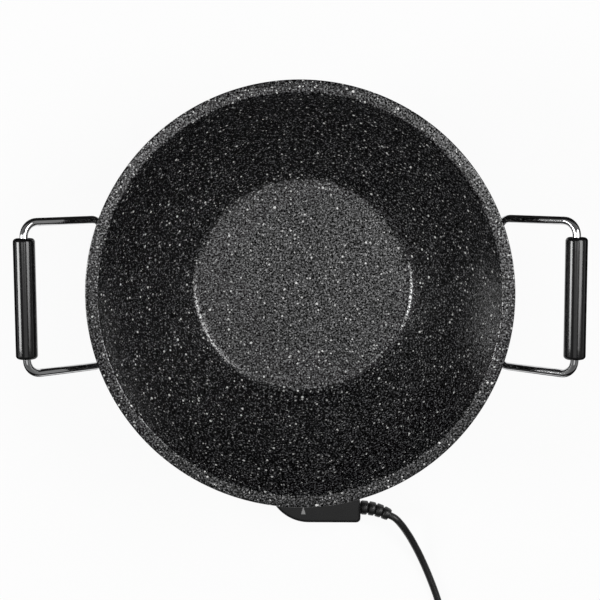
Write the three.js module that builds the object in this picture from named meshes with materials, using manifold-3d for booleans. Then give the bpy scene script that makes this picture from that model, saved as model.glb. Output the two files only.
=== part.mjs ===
import * as THREE from 'three';
import { mergeVertices } from 'three/addons/utils/BufferGeometryUtils.js';
import Module from 'manifold-3d';

// Electric wok with two wire handles and a plug-in temperature control, in millimetres, +Z up.
// The table is at z = 0. The control lies on the -Y side, and the handles on the X sides.

const wasm = await Module();
wasm.setup();

// Fits shared by all pieces
const fit = 0.3;
const overrun = 5;
const weldDistance = 0.001;

// Bowl: a flat rim, one arc of wall, a fillet and a flat floor
const rimThickness = 4.2;
const rimEdgeRound = 1.2;
const lipRadius = 168.8;
const rimBandWidth = 11.2;
const lipDrop = 1.2;
const bowlDepth = 104.5;
const wallThickness = 4.4;
const wallFootRadius = 101;
const wallFootAngle = THREE.MathUtils.degToRad(41.5);
const floorFillet = 11;
const floorLift = 36.4;
const bowlSides = 48;
const wallSteps = 6;

// Heating element in its groove under the floor
const elementInset = 26;
const elementTubeRadius = 3.5;
const elementGap = 0.5;
const elementGrooveSides = 12;
const elementBeadHalfWidth = 7;
const elementBeadDrop = 4.5;
const elementEndReach = 25;
const elementSides = 8;
const elementSteps = 44;
const terminalSpacing = 28;
const pinRadius = 2.5;
const pinLength = 23;

// Socket that the control plugs into
const plugAxisHeight = 24;
const socketWall = 1.8;
const socketMouthSetback = 0.4;
const socketDepth = 26.6;
const guideRadius = 4.6;
const guideTipGap = 6;
const guideRibHalfWidth = 3;

// Base shell, its cover, screws and feet
const shellFlare = 5.02;
const shellBottom = 5;
const shellTop = 46;
const shellThickness = 2.5;
const coverSeat = 18;
const coverClearance = 3;
const coverThickness = 1.2;
const coverSlotLength = 34;
const coverSlotWidth = 3.2;
const coverSlotRows = 5;
const coverSlotPitch = 10;
const baseScrewInset = 8;
const baseScrewCount = 4;
const baseScrewRadius = 2;
const baseScrewHeadRadius = 3.8;
const baseScrewHeadHeight = 1.8;
const baseScrewReach = 20;
const baseBossRadius = 5.5;
const footInset = 11;
const footCount = 4;
const footRadius = 8;
const footStemRadius = 3;
const footCapRadius = 4.4;
const footCapHeight = 1.6;
const footEdgeRound = 1;

// Handle loops
const wireRadius = 3.4;
const wireBendRadius = 12;
const wireHalfWidth = 63.6;
const gripReach = 57.8;
const gripAxisRise = 10;
const crossbarDrop = 40.8;
const wireEndGap = 2;
const wireSides = 8;
const wireSteps = 48;
const gripRadius = 9.1;
const gripLength = 101;
const gripEndRound = 3;
const gripSides = 20;

// Straps that clamp the loops to cast pads under the rim
const padRise = 10.6;
const padHalfWidth = 17;
const padHalfHeight = 13.5;
const padCornerRadius = 5;
const strapHalfWidth = 15;
const strapHalfHeight = 12.5;
const strapThickness = 1.6;
const strapScrewOffset = 9;
const strapScrewRadius = 1.8;
const strapScrewHeadRadius = 3;
const strapScrewHeadHeight = 1.8;
const strapScrewReach = 9;

// Temperature control: housing outline, seen from above
const noseHalfWidth = 26;
const noseSideGap = 2.2;
const noseLiftGap = 1.3;
const noseTipGap = 1.2;
const bodyBackGap = 6;
const bodyBackShoulder = 4;
const bodyLength = 99.5;
const roundEndRadius = 38.6;
const roundEndOffset = 5.3;
const bodyRightReach = 53.5;
const bodyRightLength = 27;
const bodyShoulderReach = 34;
const bodyShoulderSetback = 36;
const frontCornerRadius = 4;
const bodyBottom = 10;
const bodyTop = 40;
const bodyEdgeRound = 2.4;
const housingWall = 2.2;

// Dial and spindle
const dialInset = 40.5;
const dialRadius = 19;
const dialSkirtHeight = 4;
const dialHeight = 17;
const dialGripHalfWidth = 4;
const dialCrownRadius = 15;
const dialEdgeRound = 1.2;
const spindleRadius = 3;
const spindleGrip = 9;

// Probe and the thermostat inside the control
const probeRadius = 3.4;
const probeTipDistance = 34;
const probeRearReach = 18;
const frameHalfWidth = 8;
const frameThickness = 1.4;
const frameFrontSetback = 14;
const frameRearReach = 11;
const frameTop = 33;
const ceramicHalfWidth = 7;
const ceramicLength = 12;
const ceramicSetback = 8;
const ceramicHeight = 15;
const bladeThickness = 0.8;
const bladeHalfWidth = 3.2;
const bladePitch = 3.6;
const bladeLength = 46;
const armLength = 38;
const receptacleRadius = 4;
const receptacleBore = 2.9;
const receptacleLength = 24;

// Pilot lamp
const lampSetback = 28;
const lampOffset = -19;
const lampRadius = 2.6;
const lampLength = 13;
const lensRadius = 3.6;
const lensFlangeRadius = 4.8;
const lensFlangeHeight = 1;
const lensRise = 1.2;

// Housing screws
const housingScrewRadius = 1.3;
const housingScrewHeadRadius = 2.6;
const housingScrewHeadHeight = 1.6;
const housingScrewReach = 22;
const housingBossRadius = 3.6;
const housingScrewInset = 9;

// Strain relief and mains cord
const reliefInset = 10.7;
const reliefBendRadius = 54.6;
const reliefNeckRadius = 4.6;
const reliefFlangeRadius = 6.4;
const reliefFlangeLength = 1.6;
const reliefRadius = 6.7;
const reliefTipRadius = 5.8;
const reliefLength = 28.6;
const reliefNotchDepth = 1.9;
const reliefNotchWidth = 2;
const reliefRibCount = 4;
const cordRadius = 3.4;
const cordSides = 8;
const cordSteps = 22;

// Cord coil and plug
const coilRadius = 44.5;
const coilPitch = 8.4;
const coilLayerRise = 7.6;
const coilTurnsIn = 2;
const coilTurnsOut = 1.5;
const coilClimbTurns = 0.5;
const coilStepsPerTurn = 24;
const coilSides = 6;
const coilCentre = [93.5, -368];
const coilTableGap = 0.1;
const plugAxis = 19;
const plugRearDistance = 436;
const plugRadius = 18.7;
const plugSleeveRadius = 6;
const plugSleeveLength = 16;
const plugBodyLength = 36;
const plugFaceLength = 8;
const plugBevel = 2;
const plugPinRadius = 2.4;
const plugPinLength = 19;
const plugPinSpacing = 19;
const plugPinSeat = 4;
const plugNotchHalfWidth = 5;
const plugNotchDepth = 2.4;

// Rounding and side counts of small pieces
const rodSides = 12;
const screwSides = 8;
const curveSegments = 6;
const finePointSteps = 3;
const dialRoundSteps = 2;
const dialSides = 24;
const terminalSetback = 5;
const terminalStraight = 4;
const terminalBend = 9;
const pinTipRound = 1.2;
const noseFace = 2;
const noseCornerRadius = 3;
const apertureGap = 0.7;
const counterboreDepth = 3;
const housingScrewFrontInset = 12;

// Parts of a size, as shares of it
const screwEdgeShare = 1 / 3;
const probeTipShare = 2 / 3;
const pinTipShare = 1 / 2;
const lensTopShare = 1 / 2;
const crownHeightShare = 1 / 2;
const plugShoulderShare = 0.62;

// Heights that follow from the sizes above
const floorTop = floorLift + wallThickness;
const rimHeight = floorTop + bowlDepth;
const wallMiddle = floorLift + wallThickness / 2;
const crossbarHeight = rimHeight - crossbarDrop;
const shellFloorTop = shellBottom + shellThickness;
const coverTop = shellBottom - fit;
const coverBottom = coverTop - coverThickness;
const elementHeight = floorLift - elementBeadDrop;
const frameBottom = bodyBottom + housingWall + fit;
const ceramicBottom = frameBottom + frameThickness + fit;
const bladeLevels = [1, 2, 3].map((level) => ceramicBottom + level * bladePitch);
const dialBottom = bodyTop + fit;
const cordTableHeight = cordRadius + coilTableGap;
const wall = wallArc();

// Distances out from the wok's axis: rim, element, handles, base, socket and control
const rimRadius = lipRadius + rimBandWidth;
const elementRadius = wallFootRadius - elementInset;
const padFaceDistance = outerWallRadius(crossbarHeight) + padRise;
const crossbarDistance = padFaceDistance + fit + wireRadius;
const shellTopInner = outerWallRadius(shellTop) + fit;
const shellBottomRadius = shellTopInner + shellThickness + shellFlare;
const footCircle = shellBottomRadius - footInset;
const coverRadius = footCircle - footRadius - coverClearance;
const shellFloorInnerRadius = coverRadius - coverSeat;
const baseScrewCircle = coverRadius - baseScrewInset;
const socketMouthDistance = shellBottomRadius - socketMouthSetback;
const socketBackDistance = socketMouthDistance - socketDepth;
const socketHalfWidth = noseHalfWidth + noseSideGap + socketWall;
const socketHalfHeight = floorLift - fit - plugAxisHeight;
const terminalDistance = socketBackDistance - terminalSetback;
const guideTipDistance = probeTipDistance - guideTipGap;
const noseTipDistance = socketBackDistance + socketWall + noseTipGap;
const noseHalfHeight = socketHalfHeight - socketWall - noseLiftGap;
const bodyBackDistance = shellBottomRadius + bodyBackGap;
const bodyBackHalfWidth = noseHalfWidth + bodyBackShoulder;
const bodyFrontDistance = bodyBackDistance + bodyLength;
const bodyShoulderDistance = bodyBackDistance + bodyShoulderSetback;
const roundEndDistance = bodyFrontDistance - roundEndRadius;
const dialDistance = bodyFrontDistance - dialInset;
const probeRearDistance = bodyBackDistance + probeRearReach;
const frameFrontDistance = bodyBackDistance + frameFrontSetback;
const frameRearDistance = dialDistance + frameRearReach;
const ceramicBackDistance = frameFrontDistance + ceramicSetback;
const lampDistance = bodyBackDistance + lampSetback;
const reliefDistance = bodyFrontDistance - reliefInset;
const originShift = (bodyFrontDistance - rimRadius) / 2;

// Geometry helpers

function volumeOf(geometry) {
  const corners = [new THREE.Vector3(), new THREE.Vector3(), new THREE.Vector3()];
  const index = geometry.index.array;
  let sum = 0;
  for (let i = 0; i < index.length; i += 3) {
    corners.forEach((corner, k) => {
      corner.fromBufferAttribute(geometry.attributes.position, index[i + k]);
    });
    sum += corners[0].dot(corners[1].clone().cross(corners[2])) / 6;
  }
  return sum;
}

// One closed surface: shared corners merged, empty faces dropped, faces turned outward
function weld(geometry) {
  const bare = new THREE.BufferGeometry();
  bare.setAttribute('position', geometry.attributes.position);
  bare.setIndex(geometry.index);
  const merged = mergeVertices(bare, weldDistance);
  const index = merged.index.array;
  const kept = [];
  for (let i = 0; i < index.length; i += 3) {
    const [a, b, c] = index.slice(i, i + 3);
    if (a !== b && b !== c && c !== a) {
      kept.push(a, b, c);
    }
  }
  merged.setIndex(kept);
  if (volumeOf(merged) < 0) {
    merged.setIndex(kept.reverse());
  }
  return merged;
}

function solidOf(geometry) {
  const welded = weld(geometry);
  const vertProperties = new Float32Array(welded.attributes.position.array);
  const triVerts = new Uint32Array(welded.index.array);
  return new wasm.Manifold(new wasm.Mesh({ numProp: 3, vertProperties, triVerts }));
}

function geometryOf(solid) {
  const mesh = solid.getMesh();
  const geometry = new THREE.BufferGeometry();
  geometry.setAttribute('position', new THREE.BufferAttribute(new Float32Array(mesh.vertProperties), 3));
  geometry.setIndex([...mesh.triVerts]);
  return geometry;
}

// Joins the added geometries to the first one, then takes the cut ones away
function shaped(base, added, cuts) {
  const joined = added.reduce((solid, piece) => solid.add(solidOf(piece)), solidOf(base));
  return geometryOf(cuts.reduce((solid, piece) => solid.subtract(solidOf(piece)), joined));
}

function arcPoints(centre, radius, from, to, steps) {
  return Array.from({ length: steps + 1 }, (_, i) => {
    const angle = from + (to - from) * i / steps;
    return [centre[0] + radius * Math.cos(angle), centre[1] + radius * Math.sin(angle)];
  });
}

function revolve(profile, sides = rodSides) {
  const points = profile.map(([radius, height]) => new THREE.Vector2(radius, height));
  return new THREE.LatheGeometry(points, sides).rotateX(Math.PI / 2);
}

// A ring whose section is closed on itself
function ring(section, sides = rodSides) {
  return revolve([...section, section[0]], sides);
}

function polygon(points) {
  return new THREE.Shape(points.map(([x, y]) => new THREE.Vector2(x, y)));
}

function prism(shape, bottom, top) {
  const depth = top - bottom;
  const geometry = new THREE.ExtrudeGeometry(shape, { depth, bevelEnabled: false, curveSegments });
  return geometry.translate(0, 0, bottom);
}

// A prism whose section is drawn in X and Z, from y = front to y = back
function crossPrism(shape, front, back) {
  return prism(shape, front, back).rotateX(Math.PI / 2).scale(1, -1, 1);
}

function block(x0, x1, y0, y1, z0, z1) {
  const box = new THREE.BoxGeometry(x1 - x0, y1 - y0, z1 - z0);
  return box.translate((x0 + x1) / 2, (y0 + y1) / 2, (z0 + z1) / 2);
}

function rod(axis, radius, from, to, across, sides = rodSides) {
  const geometry = new THREE.CylinderGeometry(radius, radius, Math.abs(to - from), sides);
  const middle = (from + to) / 2;
  if (axis === 'x') {
    return geometry.rotateZ(Math.PI / 2).translate(middle, across[0], across[1]);
  }
  if (axis === 'y') {
    return geometry.translate(across[0], middle, across[1]);
  }
  return geometry.rotateX(Math.PI / 2).translate(across[0], across[1], middle);
}

// A bar along +Z from z = 0 whose far end is rounded
function roundTipped(radius, length, tip) {
  const end = arcPoints([radius - tip, length - tip], tip, 0, Math.PI / 2, finePointSteps);
  return revolve([[0, 0], [radius, 0], ...end, [0, length]]);
}

// A screw along +Z: the head starts at z = 0 and the shank ends at the given length
function screw(headRadius, headHeight, shankRadius, length) {
  const edge = headHeight * screwEdgeShare;
  return revolve([
    [0, 0], [headRadius - edge, 0], [headRadius, edge], [headRadius, headHeight],
    [shankRadius, headHeight], [shankRadius, length], [0, length],
  ], screwSides);
}

function circleShape(radius, sides) {
  return polygon(arcPoints([0, 0], radius, 0, 2 * Math.PI, sides).slice(0, sides));
}

function tube(path, radius, sides, steps) {
  const section = circleShape(radius, sides);
  return new THREE.ExtrudeGeometry(section, { steps, extrudePath: path, bevelEnabled: false });
}

// Points spaced evenly round a circle, the first one half a step from +X
function spacedRound(count, radius) {
  return Array.from({ length: count }, (_, i) => {
    const angle = 2 * Math.PI * (i + 0.5) / count;
    return [radius * Math.cos(angle), radius * Math.sin(angle)];
  });
}

function piece(name, geometry, color, roughness, metalness) {
  const material = new THREE.MeshStandardMaterial({ color, roughness, metalness });
  const mesh = new THREE.Mesh(weld(geometry), material);
  mesh.name = name;
  return mesh;
}

// Finishes
const coating = [0x2b2b2d, 0.5, 0.2];
const chrome = [0xd8d8dc, 0.12, 1];
const steel = [0x9a9ca0, 0.4, 0.9];
const brass = [0xb58a3c, 0.35, 0.9];
const blackPlastic = [0x141415, 0.35, 0];
const gripPlastic = [0x0c0c0d, 0.15, 0];
const rubber = [0x1c1c1c, 0.8, 0];
const ceramic = [0xe4ddcc, 0.7, 0];
const lampGlass = [0xd9d2c8, 0.1, 0];
const lensRed = [0xa01814, 0.15, 0];

// Bowl

// The wall is one arc from the floor fillet to the lip; its centre lies up and inward
function wallArc() {
  const foot = [wallFootRadius, floorTop + floorFillet * (1 - Math.cos(wallFootAngle))];
  const head = [lipRadius, rimHeight - lipDrop];
  const run = head[0] - foot[0];
  const rise = head[1] - foot[1];
  const headAngle = 2 * Math.atan2(rise, run) - wallFootAngle;
  const radius = Math.hypot(run, rise) / (2 * Math.sin((headAngle - wallFootAngle) / 2));
  const centre = [
    foot[0] - radius * Math.sin(wallFootAngle),
    foot[1] + radius * Math.cos(wallFootAngle),
  ];
  const filletCentre = [foot[0] - floorFillet * Math.sin(wallFootAngle), floorTop + floorFillet];
  return { radius, centre, headAngle, filletCentre };
}

function outerWallAngle(height) {
  return Math.acos((wall.centre[1] - height) / (wall.radius + wallThickness));
}

function outerWallRadius(height) {
  return wall.centre[0] + (wall.radius + wallThickness) * Math.sin(outerWallAngle(height));
}

// Points of the wall and fillet at a depth into the wall, from the floor up
function wallPoints(depth, topAngle, steps) {
  const down = -Math.PI / 2;
  const foot = down + wallFootAngle;
  const fillet = arcPoints(wall.filletCentre, floorFillet + depth, down, foot, finePointSteps);
  const side = arcPoints(wall.centre, wall.radius + depth, foot, down + topAngle, steps);
  return [...fillet, ...side.slice(1)];
}

function bowlOutside() {
  const underRim = rimHeight - rimThickness;
  const edge = rimRadius - rimEdgeRound;
  return revolve([
    [0, floorLift],
    ...wallPoints(wallThickness, outerWallAngle(underRim), wallSteps),
    ...arcPoints([edge, underRim + rimEdgeRound], rimEdgeRound, -Math.PI / 2, 0, 2),
    ...arcPoints([edge, rimHeight - rimEdgeRound], rimEdgeRound, 0, Math.PI / 2, 2),
    [0, rimHeight],
  ], bowlSides);
}

function bowlInside() {
  const lipRound = lipDrop / (1 - Math.cos(wall.headAngle));
  const lipCentre = [lipRadius + lipRound * Math.sin(wall.headAngle), rimHeight - lipRound];
  const lip = arcPoints(lipCentre, lipRound, Math.PI / 2 + wall.headAngle, Math.PI / 2, 3);
  return revolve([
    [0, floorTop],
    ...wallPoints(0, wall.headAngle, wallSteps),
    ...lip.slice(1),
    [lipCentre[0], rimHeight + overrun],
    [0, rimHeight + overrun],
  ], bowlSides);
}

function elementBead() {
  const inner = elementRadius - elementBeadHalfWidth;
  const outer = elementRadius + elementBeadHalfWidth;
  return ring([
    [inner, wallMiddle], [inner, elementHeight], [outer, elementHeight], [outer, wallMiddle],
  ], bowlSides);
}

function elementGroove() {
  const radius = elementTubeRadius + elementGap;
  const section = arcPoints([elementRadius, elementHeight], radius, 0, 2 * Math.PI, elementGrooveSides);
  return ring(section.slice(1), bowlSides);
}

// A cast pad: a bar with rounded corners that runs out through the wall to its flat face
function handlePad(side) {
  const section = roundedBar(padHalfHeight, padHalfWidth, padCornerRadius);
  const bar = prism(section, wallFootRadius, padFaceDistance).rotateY(side * Math.PI / 2);
  return bar.translate(0, 0, crossbarHeight);
}

function padBores(side) {
  const bottom = side * (padFaceDistance - strapScrewReach - fit);
  const open = side * (padFaceDistance + overrun);
  return [-1, 1].map((turn) => {
    const height = crossbarHeight + turn * strapScrewOffset;
    return rod('x', strapScrewRadius + fit, bottom, open, [0, height]);
  });
}

function bowl() {
  const screwPlaces = spacedRound(baseScrewCount, baseScrewCircle);
  const bosses = screwPlaces.map((at) => rod('z', baseBossRadius, shellFloorTop + fit, wallMiddle, at));
  const bores = screwPlaces.map((at) => rod('z', baseScrewRadius + fit, 0, baseScrewReach + fit, at));
  const notchReach = elementEndReach + elementTubeRadius;
  const beadOuter = elementRadius + elementBeadHalfWidth;
  const notch = block(-notchReach, notchReach, -beadOuter - overrun, 0, elementHeight - overrun, floorLift);
  const ribBottom = plugAxisHeight + guideRadius + fit;
  const rib = block(
    -guideRibHalfWidth, guideRibHalfWidth, -socketBackDistance, -guideTipDistance, ribBottom, wallMiddle,
  );
  const bead = shaped(elementBead(), [], [elementGroove(), notch]);
  return shaped(
    bowlOutside(),
    [bead, rib, ...bosses, handlePad(-1), handlePad(1)],
    [bowlInside(), ...bores, ...padBores(-1), ...padBores(1)],
  );
}

// Element, terminal pins and sensor guide

// An arc of the element's ring, counter-clockwise from an angle
class RingArc extends THREE.Curve {
  constructor(start, turn) {
    super();
    this.start = start;
    this.turn = turn;
  }

  getPoint(share, target = new THREE.Vector3()) {
    const angle = this.start + share * this.turn;
    return target.set(elementRadius * Math.cos(angle), elementRadius * Math.sin(angle), elementHeight);
  }
}

// The curve from the ring down to one terminal, which faces -Y
function elementEnd(side, leave, gapAngle) {
  const x = side * terminalSpacing / 2;
  const face = new THREE.Vector3(x, -terminalDistance, plugAxisHeight);
  const pull = new THREE.Vector3(x, -terminalDistance + terminalBend + terminalStraight, plugAxisHeight);
  const along = new THREE.Vector3(-side * Math.cos(gapAngle), -Math.sin(gapAngle), 0);
  return [leave, leave.clone().addScaledVector(along, terminalBend), pull, face];
}

// The centre line of the heating element, from one terminal round to the other
function elementPath() {
  const gapAngle = Math.asin(elementEndReach / elementRadius);
  const arc = new RingArc(gapAngle - Math.PI / 2, 2 * Math.PI - 2 * gapAngle);
  const path = new THREE.CurvePath();
  path.add(new THREE.CubicBezierCurve3(...elementEnd(1, arc.getPoint(0), gapAngle).reverse()));
  path.add(arc);
  path.add(new THREE.CubicBezierCurve3(...elementEnd(-1, arc.getPoint(1), gapAngle)));
  return path;
}

function element() {
  return tube(elementPath(), elementTubeRadius, elementSides, elementSteps);
}

// A bar along -Y from a distance in front of the wok's axis
function alongSouth(geometry, distance, x = 0) {
  return geometry.rotateX(Math.PI / 2).translate(x, -distance, plugAxisHeight);
}

function terminalPin(side) {
  const pin = roundTipped(pinRadius, pinLength, pinTipRound);
  return alongSouth(pin, terminalDistance + fit, side * terminalSpacing / 2);
}

function hollowBar(outer, bore, length) {
  return ring([[bore, 0], [outer, 0], [outer, length], [bore, length]]);
}

function sensorGuide() {
  const length = socketBackDistance - fit - guideTipDistance;
  return alongSouth(hollowBar(guideRadius, probeRadius + fit, length), guideTipDistance);
}

function socketShroud() {
  const low = plugAxisHeight - socketHalfHeight;
  const high = plugAxisHeight + socketHalfHeight;
  const mouth = -socketMouthDistance;
  const outer = block(-socketHalfWidth, socketHalfWidth, mouth, -socketBackDistance, low, high);
  const inside = socketHalfWidth - socketWall;
  const pocket = block(
    -inside, inside, -socketMouthDistance - overrun, -socketBackDistance - socketWall,
    low + socketWall, high - socketWall,
  );
  const from = -socketBackDistance - overrun;
  const to = -socketBackDistance + overrun;
  const pinHoles = [-1, 1].map((side) => {
    return rod('y', pinRadius + fit, from, to, [side * terminalSpacing / 2, plugAxisHeight]);
  });
  const probeHole = rod('y', probeRadius + fit, from, to, [0, plugAxisHeight]);
  return shaped(outer, [], [pocket, ...pinHoles, probeHole]);
}

// Base

function baseShell() {
  const topOuter = shellTopInner + shellThickness;
  const bottomInner = shellBottomRadius - shellThickness;
  const skirt = ring([
    [shellFloorInnerRadius, shellBottom], [shellBottomRadius, shellBottom], [topOuter, shellTop],
    [shellTopInner, shellTop], [bottomInner, shellFloorTop], [shellFloorInnerRadius, shellFloorTop],
  ], bowlSides);
  const windowHalf = socketHalfWidth + fit;
  const low = plugAxisHeight - socketHalfHeight - fit;
  const high = plugAxisHeight + socketHalfHeight + fit;
  const window = block(
    -windowHalf, windowHalf, -shellBottomRadius - overrun, -socketBackDistance, low, high,
  );
  const screwHoles = spacedRound(baseScrewCount, baseScrewCircle).map((at) => {
    return rod('z', baseScrewRadius + fit, 0, shellFloorTop + fit, at);
  });
  const footHoles = spacedRound(footCount, footCircle).map((at) => {
    return rod('z', footStemRadius + fit, 0, shellFloorTop + fit, at);
  });
  return shaped(skirt, [], [window, ...screwHoles, ...footHoles]);
}

function slotShape(x, y) {
  const end = (coverSlotLength - coverSlotWidth) / 2;
  const round = coverSlotWidth / 2;
  return polygon([
    ...arcPoints([x + end, y], round, -Math.PI / 2, Math.PI / 2, finePointSteps),
    ...arcPoints([x - end, y], round, Math.PI / 2, 3 * Math.PI / 2, finePointSteps),
  ]);
}

function baseCover() {
  const disc = circleShape(coverRadius, bowlSides);
  for (let row = 0; row < coverSlotRows; row += 1) {
    const y = (row - (coverSlotRows - 1) / 2) * coverSlotPitch;
    disc.holes.push(slotShape(-coverSlotLength, y), slotShape(coverSlotLength, y));
  }
  spacedRound(baseScrewCount, baseScrewCircle).forEach((at) => {
    const hole = arcPoints(at, baseScrewRadius + fit, 0, 2 * Math.PI, rodSides);
    disc.holes.push(polygon(hole.slice(0, rodSides)));
  });
  return prism(disc, coverBottom, coverTop);
}

function baseScrew(at) {
  const headBottom = coverBottom - fit - baseScrewHeadHeight;
  const length = baseScrewReach - headBottom;
  const body = screw(baseScrewHeadRadius, baseScrewHeadHeight, baseScrewRadius, length);
  return body.translate(at[0], at[1], headBottom);
}

function foot(at) {
  const seat = shellBottom - fit;
  const capBottom = shellFloorTop + fit;
  return revolve([
    [0, 0], ...arcPoints([footRadius - footEdgeRound, footEdgeRound], footEdgeRound, -Math.PI / 2, 0, 2),
    [footRadius, seat], [footStemRadius, seat], [footStemRadius, capBottom],
    [footCapRadius, capBottom], [footStemRadius, capBottom + footCapHeight], [0, capBottom + footCapHeight],
  ]).translate(at[0], at[1], 0);
}

// Handles

// A curve that follows a flat path in the XY plane
class FlatCurve extends THREE.Curve {
  constructor(path) {
    super();
    this.path = path;
  }

  getPoint(share, target = new THREE.Vector3()) {
    const point = this.path.getPoint(share);
    return target.set(point.x, point.y, 0);
  }
}

const loopRise = crossbarDrop + gripAxisRise;
const loopLength = Math.hypot(gripReach, loopRise);

function handleWire() {
  const side = wireHalfWidth - wireBendRadius;
  const far = loopLength - wireBendRadius;
  const path = new THREE.Path();
  path.moveTo(0, wireEndGap / 2);
  path.lineTo(0, side);
  path.absarc(wireBendRadius, side, wireBendRadius, Math.PI, Math.PI / 2, true);
  path.lineTo(far, wireHalfWidth);
  path.absarc(far, side, wireBendRadius, Math.PI / 2, 0, true);
  path.lineTo(loopLength, -side);
  path.absarc(far, -side, wireBendRadius, 0, -Math.PI / 2, true);
  path.lineTo(wireBendRadius, -wireHalfWidth);
  path.absarc(wireBendRadius, -side, wireBendRadius, -Math.PI / 2, -Math.PI, true);
  path.lineTo(0, -wireEndGap / 2);
  return tube(new FlatCurve(path), wireRadius, wireSides, wireSteps);
}

function handleGrip() {
  const bore = wireRadius + fit;
  const half = gripLength / 2;
  const shoulder = half - gripEndRound;
  const corner = gripRadius - gripEndRound;
  return ring([
    [bore, -half],
    ...arcPoints([corner, -shoulder], gripEndRound, -Math.PI / 2, 0, finePointSteps),
    ...arcPoints([corner, shoulder], gripEndRound, 0, Math.PI / 2, finePointSteps),
    [bore, half],
  ], gripSides).rotateX(Math.PI / 2);
}

// A pressed strap: flat above and below, with a half-round channel over the wire
function handleStrap() {
  const back = padFaceDistance + fit;
  const front = back + strapThickness;
  const inner = wireRadius + fit;
  const outer = inner + strapThickness;
  const right = Math.PI / 2;
  const channel = arcPoints([crossbarDistance, crossbarHeight], inner, -right, right, 6);
  const bulge = arcPoints([crossbarDistance, crossbarHeight], outer, right, -right, 6);
  const low = crossbarHeight - strapHalfHeight;
  const high = crossbarHeight + strapHalfHeight;
  const shape = polygon([
    [back, low], [back, crossbarHeight - inner], ...channel, [back, crossbarHeight + inner],
    [back, high], [front, high], [front, crossbarHeight + outer], ...bulge,
    [front, crossbarHeight - outer], [front, low],
  ]);
  const holes = [-1, 1].map((turn) => {
    const height = crossbarHeight + turn * strapScrewOffset;
    return rod('x', strapScrewRadius + fit, back - overrun, front + overrun, [0, height]);
  });
  return shaped(crossPrism(shape, -strapHalfWidth, strapHalfWidth), [], holes);
}

function strapScrew(turn) {
  const headFace = padFaceDistance + 2 * fit + strapThickness + strapScrewHeadHeight;
  const length = headFace - padFaceDistance + strapScrewReach;
  const body = screw(strapScrewHeadRadius, strapScrewHeadHeight, strapScrewRadius, length);
  return body.rotateY(-Math.PI / 2).translate(headFace, 0, crossbarHeight + turn * strapScrewOffset);
}

function handle(sideName, turn) {
  const group = new THREE.Group();
  group.rotation.z = turn;
  const loop = new THREE.Group();
  loop.position.set(crossbarDistance, 0, crossbarHeight);
  loop.rotation.y = -Math.atan2(loopRise, gripReach);
  const grip = piece(`handle_grip_${sideName}`, handleGrip(), ...gripPlastic);
  grip.position.x = loopLength;
  loop.add(piece(`handle_wire_${sideName}`, handleWire(), ...chrome), grip);
  group.add(
    loop,
    piece(`handle_strap_${sideName}`, handleStrap(), ...steel),
    piece(`strap_screw_${sideName}_upper`, strapScrew(1), ...steel),
    piece(`strap_screw_${sideName}_lower`, strapScrew(-1), ...steel),
  );
  return group;
}

// Temperature control

// The housing seen from above, drawn a distance inside its outer face
function housingOutline(inset) {
  const back = -bodyBackDistance - inset;
  const front = -bodyFrontDistance + inset;
  const right = bodyRightReach - inset;
  const leftBack = -bodyBackHalfWidth + inset;
  const rightBack = bodyBackHalfWidth - inset;
  const radius = roundEndRadius - inset;
  const away = Math.hypot(leftBack - roundEndOffset, back + roundEndDistance);
  const toBack = Math.atan2(back + roundEndDistance, leftBack - roundEndOffset);
  const touch = toBack + Math.acos(radius / away);
  const corner = Math.max(frontCornerRadius - inset, fit);
  const shoulder = [bodyShoulderReach - inset, -bodyShoulderDistance - inset];
  const top = [right, front + bodyRightLength - 2 * inset];
  const middle = [(top[0] + shoulder[0]) / 2, (top[1] + shoulder[1]) / 2];
  const shape = new THREE.Shape();
  shape.moveTo(rightBack, back);
  shape.lineTo(leftBack, back);
  shape.absarc(roundEndOffset, -roundEndDistance, radius, touch, 3 * Math.PI / 2, false);
  shape.absarc(right - corner, front + corner, corner, -Math.PI / 2, 0, false);
  shape.lineTo(right, (front + top[1]) / 2);
  shape.quadraticCurveTo(top[0], top[1], middle[0], middle[1]);
  shape.quadraticCurveTo(shoulder[0], shoulder[1], rightBack, back);
  return shape;
}

const screwPlaces = [
  [roundEndOffset - roundEndRadius + housingScrewInset, -roundEndDistance],
  [bodyRightReach - housingScrewFrontInset, -bodyFrontDistance + housingScrewFrontInset],
  [bodyBackHalfWidth - housingScrewInset, -lampDistance],
];

function roundedBar(halfWidth, halfHeight, radius) {
  const x = halfWidth - radius;
  const y = halfHeight - radius;
  const right = Math.PI / 2;
  return polygon([
    ...arcPoints([x, -y], radius, -right, 0, finePointSteps),
    ...arcPoints([x, y], radius, 0, right, finePointSteps),
    ...arcPoints([-x, y], radius, right, 2 * right, finePointSteps),
    ...arcPoints([-x, -y], radius, 2 * right, 3 * right, finePointSteps),
  ]);
}

function housingOuter() {
  const body = new THREE.ExtrudeGeometry(housingOutline(0), {
    depth: bodyTop - bodyBottom - 2 * bodyEdgeRound,
    bevelThickness: bodyEdgeRound,
    bevelSize: bodyEdgeRound,
    bevelOffset: -bodyEdgeRound,
    bevelSegments: 2,
    curveSegments,
  }).translate(0, 0, bodyBottom + bodyEdgeRound);
  const nose = crossPrism(
    roundedBar(noseHalfWidth, noseHalfHeight, noseCornerRadius),
    -bodyBackDistance - housingWall, -noseTipDistance,
  ).translate(0, 0, plugAxisHeight);
  return shaped(body, [nose], []);
}

// Bores in the nose for the probe and the two receptacles
function noseBores() {
  const inside = -bodyBackDistance - housingWall - overrun;
  const seat = -noseTipDistance - noseFace;
  const outside = -noseTipDistance + overrun;
  const sockets = [-1, 1].flatMap((side) => {
    const across = [side * terminalSpacing / 2, plugAxisHeight];
    return [
      rod('y', receptacleRadius + fit, inside, seat, across),
      rod('y', pinRadius + apertureGap, seat - overrun, outside, across),
    ];
  });
  return [rod('y', probeRadius + fit, inside, outside, [0, plugAxisHeight]), ...sockets];
}

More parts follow.
